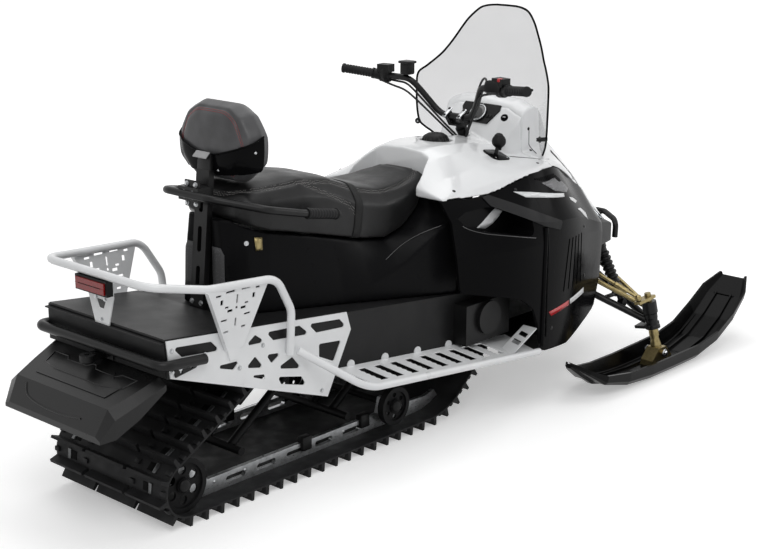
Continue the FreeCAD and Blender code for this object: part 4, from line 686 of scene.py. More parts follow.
def stitches(name, runs, node, gap, offset, finish):
    """Thread along both sides of each seam: short rounded stitches lying on the cover."""
    work = bmesh.new()
    surface = skin(node)
    for run in runs:
        for before, after in zip(run, run[1:]):
            place, normal, face, reach = surface.find_nearest((before + after) / 2)
            ahead = (after - before).normalized()
            aside = normal.cross(ahead).normalized()
            for side in (-offset, offset):
                there, tilt, face, reach = surface.find_nearest(place + aside * side)
                bmesh.ops.create_cone(work, cap_ends=True, segments=5, radius1=THREAD, radius2=THREAD,
                                      depth=gap * 0.62, matrix=facing(ahead, there + tilt * 0.0003))
    return piece(name, work, finish, crease=60)


class SNOWMOBILE_OT_finish_frame(bpy.types.Operator):
    """Give every CAD node the finish of its slot"""
    bl_idname = "snowmobile.finish_frame"
    bl_label = "Finish the Frame"

    def execute(self, context):
        make_finishes(context.scene.snowmobile_colours, context.scene.snowmobile_sizes)
        for row in frame["record"]["subparts"]:
            dress(frame["nodes"][row["node"]], FINISH_OF.get(row["node"], row["material_slot"]))
        return {"FINISHED"}


class SNOWMOBILE_OT_build_seat(bpy.types.Operator):
    """Stuffed two-up seat with sewn seams, stitching and its hold-down strap"""
    bl_idname = "snowmobile.build_seat"
    bl_label = "Build the Seat"

    def execute(self, context):
        edge = spots(
            (362, -70, 972), (400, -118, 988), (463, -143, 985), (540, -150, 985), (619, -152, 982),
            (700, -152, 972), (759, -150, 956), (820, -150, 936), (880, -150, 912), (940, -149, 896),
            (1005, -146, 886), (1060, -142, 884), (1108, -138, 890), (1160, -128, 900), (1220, -108, 910),
            (1262, -80, 918))
        slant = spots(
            (619, -156, 976), (700, -176, 940), (760, -186, 906), (820, -190, 868), (860, -188, 820))
        nose = spots((1262, -80, 918), (1276, 0, 916), (1262, 80, 918))
        tail = spots((362, -70, 972), (350, 0, 962), (362, 70, 972))
        runs = [spaced(run, 0.006) for run in (edge, mirrored(edge), slant, mirrored(slant), nose, tail)]
        padded("seat_cover", "seat", 0.008, 0.008, 4.0, 0.014, runs, 0.009, 0.0035, -0.35, 4)
        stitches("seat_stitching", runs, "seat", 0.006, 0.0045, "thread_grey")
        self.strap()
        return {"FINISHED"}

    def strap(self):
        """A flat strap round the cushion, pulled down between rider and passenger."""
        work = bmesh.new()
        bmesh.ops.create_grid(work, x_segments=3, y_segments=60, size=0.5)
        wrap = math.radians(112)
        for corner in work.verts:
            turn = 2 * wrap * corner.co.y
            centre = spot(892 + corner.co.x * 36 - 44 * abs(turn) / wrap, 0, 790)
            ray = Vector((0, math.sin(turn), math.cos(turn)))
            point, normal = meet(["seat"], centre + ray * 0.6, -ray)
            corner.co = point + normal * 0.003
        bmesh.ops.recalc_face_normals(work, faces=work.faces)
        outward(work, UP)
        walled(piece("seat_strap", work, "strap_webbing"), 0.0025)


class SNOWMOBILE_OT_build_backrest(bpy.types.Operator):
    """Backrest cushion with red double stitching, its bowl-shaped shell and their mount"""
    bl_idname = "snowmobile.build_backrest"
    bl_label = "Build the Backrest"

    def execute(self, context):
        runs = [self.ring(x) for x in (369, 452)]
        # The cover takes the lighter copy of the seat leather, which is painted light on the backrest.
        padded("backrest_cover", "backrest_cushion", 0.006, 0.007, 5.0, 0.012, runs, 0.006, 0.003, -2.0,
               24, widen=0.2, finish="back_leather")
        stitches("backrest_stitching", [self.ring(369)], "backrest_cushion", 0.005, 0.0035, "thread_red")
        self.bowl()
        screws = [meet(["backrest_shell"], spot(392, side * 400, 1104), LEFT * -side) for side in (-1, 1)]
        screws += [meet(["backrest_shell"], spot(200, y, 1036), AHEAD) for y in (-46, 46)]
        domes("backrest_screws", screws, 0.005, 0.003, "bright_alloy")
        for name, place, lean, size, rounding, finish in (
                ("backrest_stay", (337, 0, 1047), 5.8, (0.018, 0.060, 0.076), 0.003, "black_paint"),
                ("backrest_tab", (321, 0, 1086), -42, (0.026, 0.064, 0.004), 0.0015, "tab_grey"),
                ("clamp_plate", (281, 0, 966), 0, (0.008, 0.068, 0.086), 0.002, "black_paint")):
            plates(name, [placed(place, math.radians(lean), "Y")], size, rounding, finish)
        bolts("clamp_bolts", [(spot(277, y, z), -AHEAD) for y in (-21, 21) for z in (935, 997)],
              0.006, 0.006, "bright_alloy")
        return {"FINISHED"}

    def ring(self, x):
        """A seam round the cushion at a distance along the machine."""
        run = []
        for number in range(25):
            turn = math.radians(-140 + 280 * number / 24)
            out = Vector((0, math.sin(turn), math.cos(turn)))
            run.append(meet(["backrest_cushion"], spot(x, 0, 1128) + out * 0.5, -out)[0])
        return spaced(run, 0.005)

    def bowl(self):
        """A bowl that hugs the lower half of the cushion, its rim rising to the sides."""
        work = bmesh.new()
        bmesh.ops.create_grid(work, x_segments=40, y_segments=14, size=1.0)
        rim = []
        for corner in work.verts:
            across, up = corner.co.x, (corner.co.y + 1) / 2
            turn = math.radians(84) * across
            out = Vector((-math.cos(turn), math.sin(turn), 0))
            low, high = 1020 + 22 * across ** 2, 1086 + 66 * abs(across) ** 2.4
            start = spot(440, 0, low + up * (high - low)) + out * 0.5
            point, normal = meet(["backrest_cushion"], start, -out)
            corner.co = point + normal * 0.007
            if up > 0.999:
                rim.append((across, corner.co.copy()))
        outward(work, -AHEAD)
        bmesh.ops.solidify(work, geom=work.faces[:], thickness=0.004)
        thing = piece("backrest_bowl", work, "black_gloss")
        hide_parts("backrest_shell")
        stands_in(thing, "backrest_shell")
        rim.sort(key=lambda pair: pair[0])
        rods("backrest_rim", [[point for across, point in rim]], 0.003, "black_gloss")


class SNOWMOBILE_OT_mould_bodywork(bpy.types.Operator):
    """Soft-edged mouldings over the console, hood, seat base and nose"""
    bl_idname = "snowmobile.mould_bodywork"
    bl_label = "Mould the Bodywork"

    def execute(self, context):
        softened("console_mould", "console", 0.004, 3, "white_gloss")
        softened("hood_mould", "hood", 0.004, 3, "white_gloss")
        softened("seat_base_mould", "seat_base", 0.005, 5, "seat_base_black")
        softened("nose_mould", "nose", 0.004, 3, "dark_plastic")
        return {"FINISHED"}


class SNOWMOBILE_OT_dress_bodywork(bpy.types.Operator):
    """Stripes, grilles, seams and fasteners on the bodywork"""
    bl_idname = "snowmobile.dress_bodywork"
    bl_label = "Dress the Bodywork"

    def execute(self, context):
        flanks = ["side_panels", "vent_panels"]
        patches = (
            ("pocket_stripe", "stripe_white", (
                (1404, 782), (1448, 765), (1422, 744), (1394, 728), (1352, 716), (1302, 727), (1326, 738),
                (1350, 752), (1376, 768))),
            ("flank_stripe", "stripe_white", (
                (1484, 833), (1560, 822), (1768, 785), (1758, 774), (1530, 808))),
            ("flank_patch_upper", "stripe_white", (
                (1806, 764), (1850, 752), (1894, 731), (1858, 730), (1814, 751))),
            ("flank_patch_lower", "stripe_white", (
                (1851, 712), (1894, 706), (1934, 680), (1930, 656), (1900, 676), (1877, 696))),
            ("flank_band_red", "stripe_red", ((1606, 368), (1752, 380), (1756, 360), (1622, 349))),
            ("flank_band_white", "stripe_white", ((1762, 381), (1902, 392), (1904, 370), (1766, 361))),
            ("shoulder_mesh", "mesh_metal", (
                (1640, 842), (1730, 848), (1800, 820), (1846, 787), (1800, 782), (1700, 806))))
        slots = (("hood_insert", ((1930, 196), (2020, 246), (2034, 232), (1952, 178))),
                 ("hood_vent", ((2040, 212), (2098, 226), (2108, 214), (2052, 196))))
        for side, word in SIDES:
            for name, finish, outline in patches:
                laid(f"{name}_{word}", beside(side, outline), flanks, LEFT * -side, finish)
            for name, outline in slots:
                corners = [spot(x, y * side, 1000) for x, y in outline]
                laid(f"{name}_{word}", corners, ["hood"], -UP, "black_gloss")
        self.seams(flanks)
        self.fasteners(flanks)
        return {"FINISHED"}

    def seams(self, flanks):
        runs = []
        for side in (-1, 1):
            for places in ([(1788, z) for z in (1006, 984, 960, 936, 914)],
                           ((1668, 915), (1700, 910), (1734, 906), (1768, 901), (1801, 897))):
                runs.append([meet(["console", "hood"], point, LEFT * -side)[0]
                             for point in beside(side, places)])
        rods("console_seams", runs, 0.0014, "seam_dark")
        # The pocket rim and seat base fold beads take the lighter, shinier black: painted highlights along
        # those edges.
        for name, nodes, reach, radius, finish, places in (
                ("pocket_rim", flanks, BESIDE, 0.0016, "edge_gloss", (
                    (1208, 752), (1226, 738), (1288, 716), (1340, 705), (1389, 695), (1450, 682),
                    (1514, 669))),
                ("base_fold", ["seat_base"], 420, 0.0014, "edge_gloss", (
                    (960, 653), (1020, 678), (1080, 702), (1140, 727), (1200, 751), (1224, 761))),
                ("panel_seam", flanks, BESIDE, 0.0035, "black_gloss", (
                    (1585, 700), (1587, 620), (1588, 500), (1590, 380), (1594, 275)))):
            for side, word in SIDES:
                beads(f"{name}_{word}", [beside(side, places, reach)], nodes, LEFT * -side, radius, finish)

    def fasteners(self, flanks):
        plugs, screws = [], []
        for side in (-1, 1):
            for found, nodes, places in (
                    (plugs, ["console", "side_panels"], ((1242, 862), (1500, 838))),
                    (screws, flanks, ((1630, 712), (1630, 300), (1880, 640), (1900, 440))),
                    (plugs, ["console", "hood"], ((1785, 1005), (1792, 922)))):
                found += [meet(nodes, point, LEFT * -side) for point in beside(side, places)]
            plugs.append(meet(["console", "hood"], spot(1706, side * 300, 1250), -UP))
        domes("body_plugs", plugs, 0.0065, 0.0022, "black_paint")
        bolts("panel_screws", screws, 0.005, 0.002, "black_paint", sides=12)


class SNOWMOBILE_OT_dress_dash(bpy.types.Operator):
    """Gauge, switches, key, filler cap, lever knob and gear gate"""
    bl_idname = "snowmobile.dress_dash"
    bl_label = "Dress the Dash"

    FLUTES, DEPTH = 24, 0.0013

    def execute(self, context):
        lean = math.radians(40)
        way = Vector((math.cos(lean), 0, -math.sin(lean)))
        face = (meet(["dash_pod"], spot(1722, 0, 1050) - way * 0.3, way)[0], -way)
        rings("gauge_ring", [face], 0.034, 0.003, "bright_alloy")
        domes("gauge_glass", [face], 0.032, 0.004, "gauge_glass")
        switches = [meet(["dash_pod"], spot(1722, y, 1040) - way * 0.3, way) for y in (-62, -48, 50, 64)]
        plates("dash_switches", [facing(normal, point) for point, normal in switches],
               (0.010, 0.016, 0.008), 0.002, "dark_plastic")
        rider, lock = spots((1500, -260, 1130), (1716, -128, 1050))
        key = meet(["console", "hood"], rider, (lock - rider).normalized())
        rings("key_ring", [key], 0.012, 0.003, "black_gloss")
        domes("key_barrel", [key], 0.0115, 0.005, "black_gloss")
        plates("key_slot", [facing(key[1], key[0] + key[1] * 0.005)], (0.012, 0.003, 0.004), 0.0008,
               "bright_alloy")
        self.cap()
        self.knob()
        self.gate()
        return {"FINISHED"}

    def cap(self):
        """The ribbed filler cap: a profile spun round, its rim fluted."""
        low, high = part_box("fuel_cap")
        centre = (low + high) / 2
        work = spun(centre, (
            (0, 938), (46, 938), (50, 944), (52, 956), (51.5, 972), (49, 986), (43, 997), (31, 1005),
            (16, 1008), (0, 1009)), 96)
        for corner in work.verts:
            out = Vector((corner.co.x - centre.x, corner.co.y, 0))
            if 0.95 < corner.co.z < 1.0 and out.length > 0.04:
                corner.co += out.normalized() * self.DEPTH * math.cos(self.FLUTES * math.atan2(out.y, out.x))
        bmesh.ops.recalc_face_normals(work, faces=work.faces)
        thing = piece("filler_cap", work, "dark_plastic")
        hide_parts("fuel_cap")

    def knob(self):
        """The gear lever's ball with its collar, over the ball of the lever."""
        tops = [corner.co for corner in frame["nodes"]["gear_lever"].data.vertices if corner.co.z > 0.985]
        work = spun(sum(tops, Vector()) / len(tops), (
            (0, 1005), (7.5, 1004), (14.5, 1001), (21, 995), (25.5, 987), (27, 978), (25.5, 969), (21, 962),
            (14, 956), (10.5, 951), (10.5, 945), (0, 945)), 40)
        bmesh.ops.recalc_face_normals(work, faces=work.faces)
        piece("lever_knob", work, "dark_plastic")

    def gate(self):
        """A rounded plate round the lever, lying along the slope of the console."""
        a, b, c, d = [meet(["console"], spot(x, y, 1200), -UP)[0]
                      for x, y in ((1538, -146), (1538, -238), (1646, -238), (1646, -146))]
        ahead = (c + d - a - b).normalized()
        up = ahead.cross((a + d - b - c).normalized()).normalized()
        seat = Matrix((ahead, up.cross(ahead), up)).transposed().to_4x4()
        seat.translation = (a + b + c + d) / 4
        work = bmesh.new()
        bmesh.ops.create_cube(work, size=1.0, matrix=seat @ Matrix.Diagonal((0.098, 0.082, 0.007, 1.0)))
        rounded(work, [edge for edge in work.edges
                       if abs((edge.verts[0].co - edge.verts[1].co).normalized().dot(up)) > 0.9], 0.024, 6)
        rounded(work, [edge for edge in work.edges if edge.calc_face_angle(0) > 1], 0.002)
        piece("gear_gate", work, "black_gloss")
        bolts("gate_screws", [(seat @ Vector((x, -0.026, 0.003)), up) for x in (-0.034, 0.034)], 0.0028,
              0.0015, "bright_alloy", sides=12)


class SNOWMOBILE_OT_build_screen(bpy.types.Operator):
    """Curved clear screen with its edge trim and wing knobs"""
    bl_idname = "snowmobile.build_screen"
    bl_label = "Build the Screen"

    LEVELS = (
        (902, 1999, 1800, 250), (938, 1993, 1775, 280), (960, 1989, 1752, 300), (985, 1985, 1735, 315),
        (1040, 1975, 1728, 322), (1110, 1962, 1727, 324), (1175, 1949, 1731, 321), (1204, 1942, 1757, 297),
        (1238, 1934, 1785, 266), (1266, 1928, 1802, 243), (1312, 1916, 1823, 214), (1364, 1903, 1839, 182),
        (1397, 1895, 1850, 159), (1425, 1888, 1861, 131), (1440, 1884, 1866, 109), (1448, 1882, 1872, 78),
        (1451, 1882, 1878, 46))

    def level(self, share):
        """The front, wing and half width at a share of the way up, along a smooth line."""
        place = share * (len(self.LEVELS) - 1)
        first = min(int(place), len(self.LEVELS) - 2)
        rows = [self.LEVELS[max(0, min(first + step, len(self.LEVELS) - 1))] for step in (-1, 0, 1, 2)]
        t = place - first
        return [0.5 * (2 * b + (c - a) * t + (2 * a - 5 * b + 4 * c - e) * t * t
                       + (3 * b - a - 3 * c + e) * t ** 3)
                for a, b, c, e in zip(*rows)]

    def point(self, across, share):
        """A point of the screen: across from -1 to 1, and a share of the way up."""
        z, front, wing, half = self.level(share)
        bend = (math.hypot(1, across / 0.35) - 1) / (math.hypot(1, 1 / 0.35) - 1)
        return spot(front - (front - wing) * bend, half * across, z)

    def execute(self, context):
        work = bmesh.new()
        bmesh.ops.create_grid(work, x_segments=40, y_segments=64, size=0.5)
        for corner in work.verts:
            corner.co = self.point(corner.co.x * 2, corner.co.y + 0.5)
        bmesh.ops.recalc_face_normals(work, faces=work.faces)
        outward(work, AHEAD)
        bmesh.ops.solidify(work, geom=work.faces[:], thickness=0.003)
        thing = piece("screen_sheet", work, "clear_screen")
        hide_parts("windshield")
        edge = [self.point(-1, number / 64) for number in range(65)]
        edge += [self.point(-1 + number / 4, 1) for number in range(1, 8)]
        edge += [self.point(1, 1 - number / 64) for number in range(65)]
        rods("screen_trim", [edge], 0.0042, "black_gloss")
        knobs, tabs = [], []
        for side in (-1, 1):
            edge_point = self.point(side, 0.19)
            knob = edge_point + Vector((-0.022, -0.012 * side, 0))
            way = Vector((-0.8, side * -0.6, 0)).normalized()
            knobs.append((knob, way))
            tabs.append(Matrix.Translation((edge_point + knob) / 2) @ Matrix.Rotation(side * 0.5, 4, "Z"))
        plates("screen_tabs", tabs, (0.036, 0.005, 0.016), 0.002, "black_paint")
        bolts("screen_knobs", knobs, 0.008, 0.012, "black_paint", sides=8)
        domes("screen_knob_pins", [(point + way * 0.0135, way) for point, way in knobs], 0.0035, 0.002,
              "bright_alloy")
        return {"FINISHED"}


class SNOWMOBILE_OT_dress_bars(bpy.types.Operator):
    """Clamps, cables, switches and collars of the handlebar"""
    bl_idname = "snowmobile.dress_bars"
    bl_label = "Dress the Handlebar"

    def execute(self, context):
        body = "steering_bars"
        column = Vector((-0.573576, 0, 0.819152))
        half = spots(
            (1440, -431, 1209), (1470, -357, 1201), (1498, -288, 1193), (1508, -236, 1191),
            (1512, -196, 1191), (1518, -172, 1184), (1532, -154, 1164), (1556, -124, 1120),
            (1572, -98, 1084), (1582, -74, 1061), (1584, -52, 1055), (1584, -20, 1055))
        tube = rods("bar_tube", [half + mirrored(half[::-1])], 0.0125, "black_paint", body)
        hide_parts("handlebar")
        seats = [facing(column, spot(1584, y, 1055) + column * 0.016) for y in (-35, 35)]
        screws = [(seat @ Vector((0, y, 0.003)), column) for seat in seats for y in (-0.018, 0.018)]
        plates("bar_clamps", seats, (0.018, 0.052, 0.007), 0.003, "bright_alloy", body)
        bolts("clamp_screws", screws, 0.004, 0.003, "black_paint", body)
        rods("bar_cables", [
            spots((1508, 268, 1176), (1506, 230, 1174), (1512, 190, 1172), (1524, 160, 1146),
                  (1548, 124, 1100), (1566, 92, 1062), (1590, 52, 1014), (1612, 16, 975)),
            spots((1488, 290, 1172), (1488, 240, 1160), (1500, 186, 1148), (1516, 150, 1118),
                  (1544, 112, 1074), (1572, 70, 1026), (1606, 24, 972)),
            spots((1474, -232, 1212), (1520, -196, 1222), (1560, -150, 1218), (1586, -112, 1186),
                  (1604, -80, 1130), (1614, -52, 1060), (1618, -24, 976)),
            spots((1504, -262, 1178), (1508, -214, 1170), (1520, -168, 1158), (1544, -132, 1110),
                  (1568, -96, 1062), (1596, -52, 1008), (1616, -20, 968))], 0.0042, "rubber_hose", body)
        work = bmesh.new()
        for side in (-1, 1):
            outer, inner, seat = spots(
                (1434, side * 446, 1211), (1498, side * 288, 1193), (1496, side * 292, 1193))
            bmesh.ops.create_cone(work, cap_ends=True, segments=28, radius1=0.019, radius2=0.022, depth=0.012,
                                  matrix=facing((outer - inner).normalized(), seat))
        rounded(work, [edge for edge in work.edges if edge.calc_face_angle(0) > 1], 0.002)
        piece("grip_collars", work, "grip_rubber", body)
        lean = Matrix.Rotation(math.radians(20), 4, "Y")
        for name, seat, size, rounding, finish in (
                ("kill_switch", placed((1479, -290, 1231), 0.4), (0.016, 0.020, 0.014), 0.004, "stripe_red"),
                ("throttle_housing", placed((1488, -258, 1200), 0.18) @ lean, (0.050, 0.074, 0.050), 0.016,
                 "dark_plastic"),
                ("switch_housing", placed((1494, 282, 1200), -0.3), (0.044, 0.044, 0.046), 0.012,
                 "dark_plastic"),
                ("brake_reservoir", placed((1510, 182, 1226)), (0.040, 0.044, 0.044), 0.006, "dark_plastic"),
                ("reservoir_lid", placed((1510, 182, 1251)), (0.048, 0.054, 0.010), 0.003, "black_paint")):
            plates(name, [seat], size, rounding, finish, body)
        return {"FINISHED"}


class SNOWMOBILE_OT_dress_rack(bpy.types.Operator):
    """Bolts, brackets and linings of the rack, post and rear wall"""
    bl_idname = "snowmobile.dress_rack"
    bl_label = "Dress the Rack"

    def execute(self, context):
        plate = []
        for side in (-1, 1):
            for point in beside(side, (
                    (-66, 590), (-66, 524), (-40, 520), (62, 548), (200, 470), (300, 520), (420, 560),
                    (560, 588), (640, 566), (676, 360), (560, 300), (420, 380))):
                plate += self.on(["side_plates", "rack_hoop"], point, LEFT * -side)
        bolts("plate_bolts", plate, 0.0055, 0.004, "bright_alloy")
        post = [meet(["backrest_post", "rail_clamp"], spot(150, y, z), AHEAD)
                for y, z in ((-20, 976), (20, 976), (-20, 956), (20, 956), (-22, 606), (22, 606))]
        bolts("post_bolts", post, 0.006, 0.005, "bright_alloy")
        wall = []
        for side, word in SIDES:
            inset = [spot(200, side * y, z) for y, z in (
                (42, 640), (98, 640), (92, 770), (80, 792), (42, 792))]
            laid(f"wall_inset_{word}", inset, ["seat_base"], AHEAD, "speckled_grey", 0.003)
            tab = beside(side, ((412, 822), (440, 818), (438, 778), (414, 776)), 420)
            laid(f"base_bracket_{word}", tab, ["seat_base"], LEFT * -side, "zinc_gold", 0.003)
            wall.append(meet(["seat_base"], spot(384, side * 420, 806), LEFT * -side))
        bolts("wall_bolts", wall, 0.0055, 0.004, "bright_alloy")
        return {"FINISHED"}

    def on(self, nodes, start, way):
        """The last of those nodes' surfaces at a place seen from a side, none at a cut-out."""
        hits = [skin(node).ray_cast(start, way, 0.40)[0] for node in nodes]
        return [(hit, -way) for hit in hits if hit is not None and abs(hit.y) > 0.25][-1:]


class SNOWMOBILE_OT_dress_tail(bpy.types.Operator):
    """Lamp ribs, flap mouldings and bumper bolts"""
    bl_idname = "snowmobile.dress_tail"
    bl_label = "Dress the Tail"

    def execute(self, context):
        top = [spot(x, y, 800) for x, y in (
            (-128, 205), (-128, 135), (-142, 118), (-142, 24), (-128, 8), (-128, -8), (-142, -24),
            (-142, -118), (-128, -135), (-128, -205), (-176, -190), (-192, -120), (-192, 120), (-176, 190),
            (-128, 205))]
        step = [meet(["snow_flap"], point, -UP)[0] for point in top]
        rods("flap_step", [step], 0.0026, "flap_rubber", smooth=False)
        groove = [spot(-420, y, z) for y, z in (
            (170, 432), (158, 408), (130, 396), (70, 388), (0, 386), (-70, 388), (-130, 396))]
        beads("flap_groove", [groove], ["snow_flap"], AHEAD, 0.0028, "flap_rubber")
        bumper = []
        for side in (-1, 1):
            for point in beside(side, ((-62, 530), (-40, 530), (-62, 516))):
                hit, normal, face, reach = skin("rear_bumper").ray_cast(point, LEFT * -side)
                if hit is not None:
                    bumper.append((hit, normal))
        bolts("bumper_bolts", bumper, 0.005, 0.004, "bright_alloy")
        ribs = [facing(-AHEAD, spot(-135.5, y, 748)) for y in range(-56, 57, 14)]
        plates("lamp_ribs", ribs, (0.030, 0.0022, 0.0012), 0.0004, "lamp_red")
        bracket = [meet(["tail_bracket"], spot(-400, y, z), AHEAD)
                   for y, z in ((-22, 700), (22, 700), (0, 634))]
        bolts("bracket_bolts", bracket, 0.0045, 0.004, "bright_alloy")
        return {"FINISHED"}


class SNOWMOBILE_OT_dress_track(bpy.types.Operator):
    """Drive windows, clips and cleats along the belt"""
    bl_idname = "snowmobile.dress_track"
    bl_label = "Dress the Track"

    # What the belt runs round, by place along the machine, height and radius, in millimetres.
    RINGS = ((0, 126, 90), (1130, 296, 260), (1434, 328, 81), (500, 432, 70))
    STEP, BELT, PITCH = 2, 6.0, 64

    def loop(self, grow):
        """The outer face of the belt as points and directions, step by step."""
        straights = []
        for number, ring in enumerate(self.RINGS):
            after = self.RINGS[(number + 1) % len(self.RINGS)]
            run = Vector((after[0] - ring[0], after[1] - ring[1]))
            turn = math.atan2(run.y, run.x) - math.pi / 2 + math.asin((ring[2] - after[2]) / run.length)
            out = Vector((math.cos(turn), math.sin(turn)))
            first, last = (Vector(end[:2]) + out * (end[2] + grow) for end in (ring, after))
            straights.append((first, last, turn))
        path = []
        for number, (first, last, turn) in enumerate(straights):
            steps = int((last - first).length / self.STEP)
            path += [(first.lerp(last, step / steps), turn) for step in range(steps)]
            ring = self.RINGS[(number + 1) % len(straights)]
            after = straights[(number + 1) % len(straights)][2]
            after += math.tau if after < turn else 0
            steps = max(1, int((after - turn) * (ring[2] + grow) / self.STEP))
            for step in range(steps):
                angle = turn + (after - turn) * step / steps
                out = Vector((math.cos(angle), math.sin(angle)))
                path.append((Vector(ring[:2]) + out * (ring[2] + grow), angle))
        return path

    def execute(self, context):
        path = self.loop(self.BELT)
        lengths = [0.0]
        for (before, turn), (after, other) in zip(path, path[1:] + path[:1]):
            lengths.append(lengths[-1] + (after - before).length)
        count = round(lengths[-1] / self.PITCH)
        windows, clips, cleats = [], [], []
        index = 0
        for number in range(count):
            goal = (number + 0.5) * lengths[-1] / count
            while lengths[index] < goal:
                index += 1
            place, turn = path[index % len(path)]
            seat = placed((place.x, 0, place.y), math.pi / 2 - turn, "Y")
            for found, y, z in ((windows, 0.182, -0.0008), (clips, 0.205, 0.001), (cleats, 0.268, 0.003),
                                (cleats, 0.118, 0.002)):
                found += [seat @ Matrix.Translation((0, side * y, z)) for side in (-1, 1)]
        # The windows are near-black plates on the belt: painted shade standing for its holes.
        plates("track_windows", windows, (0.028, 0.026, 0.004), 0.001, "window_dark")
        plates("track_clips", clips, (0.034, 0.014, 0.005), 0.0015, "engine_alloy")
        plates("track_cleats", cleats, (0.016, 0.022, 0.010), 0.002, "track_rubber")
        return {"FINISHED"}


class SNOWMOBILE_OT_dress_suspension(bpy.types.Operator):
    """Rivets, blocks and hub caps of the rails"""
    bl_idname = "snowmobile.dress_suspension"
    bl_label = "Dress the Suspension"

    def execute(self, context):
        rivets, blocks, hubs = [], [], []
        for side in (-1, 1):
            for point in beside(side, [(x, 71) for x in range(100, 1100, 66)], 230):
                hit, normal, face, reach = skin("rails").ray_cast(point, LEFT * -side)
                if hit is not None and abs(hit.y) > 0.18:
                    rivets.append((hit, normal))
            blocks += [placed((x, side * 196, 84)) for x in (573, 860)]
            hubs += [(point, LEFT * side) for point in beside(side, ((0, 126), (976, 118)), 252)]
        domes("rail_rivets", rivets, 0.006, 0.0025, "bright_alloy")
        plates("rail_blocks", blocks, (0.044, 0.030, 0.050), 0.005, "dark_plastic")
        domes("hub_caps", hubs, 0.024, 0.012, "dark_plastic")
        return {"FINISHED"}


class SNOWMOBILE_OT_dress_skis(bpy.types.Operator):
    """Ridges, tip ribs and pivot bolts of the skis"""
    bl_idname = "snowmobile.dress_skis"
    bl_label = "Dress the Skis"

    def execute(self, context):
        for side, word in SIDES:
            body, ski, middle = f"ski_set_{word}", [f"ski_{word}"], 505 * side
            bolts(f"ski_bolt_{word}", [(spot(2281, middle + 40 * way, 62), LEFT * way) for way in (1, -1)],
                  0.012, 0.009, "bright_alloy", body)
            runs = [[spot(x, middle + offset * wide, 500) for x, wide in (
                (1830, 0.8), (1950, 0.92), (2110, 0.97), (2281, 1.0), (2440, 1.03), (2580, 1.06),
                (2690, 1.02))] for offset in (-70, 70)]
            beads(f"ski_ridges_{word}", runs, ski, -UP, 0.004, "ski_plastic", body)
            tip = [spot(2800, middle + offset, 600) for offset in (-46, -23, 0, 23, 46)]
            beads(f"ski_tip_rib_{word}", [tip], ski, -UP, 0.004, "ski_plastic", body)
        return {"FINISHED"}


class SNOWMOBILE_OT_dress_front(bpy.types.Operator):
    """Screws of the nose"""
    bl_idname = "snowmobile.dress_front"
    bl_label = "Dress the Front"

    def execute(self, context):
        screws = [meet(["nose"], spot(2800, y, 420), -AHEAD) for y in (-60, -170, 60, 170)]
        bolts("nose_screws", screws, 0.006, 0.004, "bright_alloy")
        return {"FINISHED"}


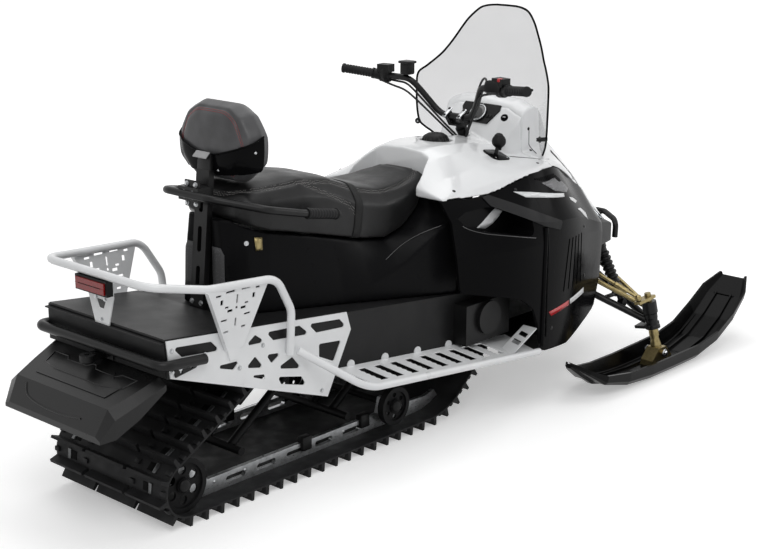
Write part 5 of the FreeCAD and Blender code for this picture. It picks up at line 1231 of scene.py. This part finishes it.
class SNOWMOBILE_OT_build_stage(bpy.types.Operator):
    """Pale floor, soft lights and the camera at the photograph's angle"""
    bl_idname = "snowmobile.build_stage"
    bl_label = "Build the Stage"

    LAMPS = (
        ("key_light", (-3.5, -3.0, 5.0), 3.0, 110.0),
        ("top_light", (0.5, 0.5, 5.0), 4.0, 85.0),
        ("rim_light", (4.0, -3.5, 2.6), 2.0, 35.0))
    CAMERA_PLACE = (along(-2.710), -3.565, 1.991)
    # Heading, downward pitch and roll, fitted to the photograph.
    CAMERA_TURN = tuple(math.radians(angle) for angle in (42.22, 15.63, 0.24))
    CAMERA_LENS = 68.37
    # How bright the world and the far floor are as light, and as the camera sees them.
    DIM, BRIGHT, FAR_FLOOR = 0.36, 1.0, 0.66

    def seen(self, tree):
        """One where the camera, a reflection or clear sheet looks, and nothing for other light."""
        path = tree.nodes.new("ShaderNodeLightPath")
        total = path.outputs["Is Camera Ray"]
        for kind in ("Is Glossy Ray", "Is Transmission Ray"):
            most = tree.nodes.new("ShaderNodeMath")
            most.operation = "MAXIMUM"
            tree.links.new(total, most.inputs[0])
            tree.links.new(path.outputs[kind], most.inputs[1])
            total = most.outputs["Value"]
        return total

    def execute(self, context):
        context.scene.view_settings.view_transform = "Standard"
        self.floor()
        self.world(context.scene)
        self.lamps()
        self.camera(context.scene)
        return {"FINISHED"}

    def floor(self):
        work = bmesh.new()
        bmesh.ops.create_grid(work, x_segments=1, y_segments=1, size=30.0)
        mesh = bpy.data.meshes.new("floor")
        work.to_mesh(mesh)
        work.free()
        floor = linked("floor", mesh)
        f = Finish("floor_white")
        mottle = f.noise(0.6, 2.0)
        reach = f.node("ShaderNodeVectorMath", Vector=f.place)
        reach.operation = "LENGTH"
        glow = f.node("ShaderNodeMath")
        glow.operation = "MULTIPLY"
        far = f.spread(reach.outputs["Value"], self.DIM, self.FAR_FLOOR, 2.0, 4.0)
        for source, socket in zip((far, self.seen(f.tree)), glow.inputs):
            f.tree.links.new(source, socket)
        f.set(Base_Color=f.shades(mottle, (0.90, 0.90, 0.90), (0.93, 0.93, 0.93)), Roughness=0.6,
              Emission_Strength=glow.outputs["Value"], Emission_Color=(1, 1, 1, 1))
        mesh.materials.append(f.material)

    def world(self, scene):
        world = bpy.data.worlds.new("studio")
        world.use_nodes = True
        scene.world = world
        tree = world.node_tree
        back = tree.nodes["Background"]
        share = tree.nodes.new("ShaderNodeMapRange")
        share.inputs["To Min"].default_value = self.DIM
        share.inputs["To Max"].default_value = self.BRIGHT
        tree.links.new(self.seen(tree), share.inputs["Value"])
        tree.links.new(share.outputs["Result"], back.inputs["Strength"])
        back.inputs["Color"].default_value = (1, 1, 1, 1)

    def lamps(self):
        for name, place, size, power in self.LAMPS:
            lamp = bpy.data.lights.new(name, "AREA")
            lamp.size = size
            lamp.energy = power
            thing = linked(name, lamp)
            thing.location = place
            thing.rotation_mode = "QUATERNION"
            thing.rotation_quaternion = (Vector((0, 0, 0.5)) - Vector(place)).to_track_quat("-Z", "Y")

    def camera(self, scene):
        view = bpy.data.cameras.new("camera")
        view.sensor_width = 36.0
        view.lens = self.CAMERA_LENS
        heading, pitch, roll = self.CAMERA_TURN
        ahead = Vector((math.cos(heading) * math.cos(pitch), math.sin(heading) * math.cos(pitch),
                        -math.sin(pitch)))
        level = Vector((math.sin(heading), -math.cos(heading), 0.0))
        right = level * math.cos(roll) + level.cross(ahead) * math.sin(roll)
        turn = Matrix((right, right.cross(ahead), -ahead)).transposed()
        scene.camera = linked("camera", view)
        scene.camera.matrix_world = Matrix.Translation(self.CAMERA_PLACE) @ turn.to_4x4()


OPERATORS = (
    SNOWMOBILE_OT_finish_frame,
    SNOWMOBILE_OT_build_seat,
    SNOWMOBILE_OT_build_backrest,
    SNOWMOBILE_OT_mould_bodywork,
    SNOWMOBILE_OT_dress_bodywork,
    SNOWMOBILE_OT_dress_dash,
    SNOWMOBILE_OT_build_screen,
    SNOWMOBILE_OT_dress_bars,
    SNOWMOBILE_OT_dress_rack,
    SNOWMOBILE_OT_dress_tail,
    SNOWMOBILE_OT_dress_track,
    SNOWMOBILE_OT_dress_suspension,
    SNOWMOBILE_OT_dress_skis,
    SNOWMOBILE_OT_dress_front,
    SNOWMOBILE_OT_build_stage)


class SNOWMOBILE_PT_panel(bpy.types.Panel):
    """The machine's pieces, its colours and its sizes"""
    bl_idname = "SNOWMOBILE_PT_panel"
    bl_label = "Snowmobile"
    bl_space_type = "VIEW_3D"
    bl_region_type = "UI"
    bl_category = "Snowmobile"

    def draw(self, context):
        for group in (context.scene.snowmobile_colours, context.scene.snowmobile_sizes):
            box = self.layout.box()
            for key in group.__annotations__:
                box.prop(group, key)
        for operator in OPERATORS:
            self.layout.operator(operator.bl_idname)


CLASSES = (SnowmobileColours, SnowmobileSizes, *OPERATORS, SNOWMOBILE_PT_panel)


def register():
    for cls in CLASSES:
        bpy.utils.register_class(cls)
    bpy.types.Scene.snowmobile_colours = PointerProperty(type=SnowmobileColours)
    bpy.types.Scene.snowmobile_sizes = PointerProperty(type=SnowmobileSizes)


def unregister():
    del bpy.types.Scene.snowmobile_sizes
    del bpy.types.Scene.snowmobile_colours
    for cls in reversed(CLASSES):
        bpy.utils.unregister_class(cls)


def main():
    register()
    for operator in OPERATORS:
        group, name = operator.bl_idname.split(".")
        getattr(getattr(bpy.ops, group), name)()


if __name__ == "__main__":
    main()
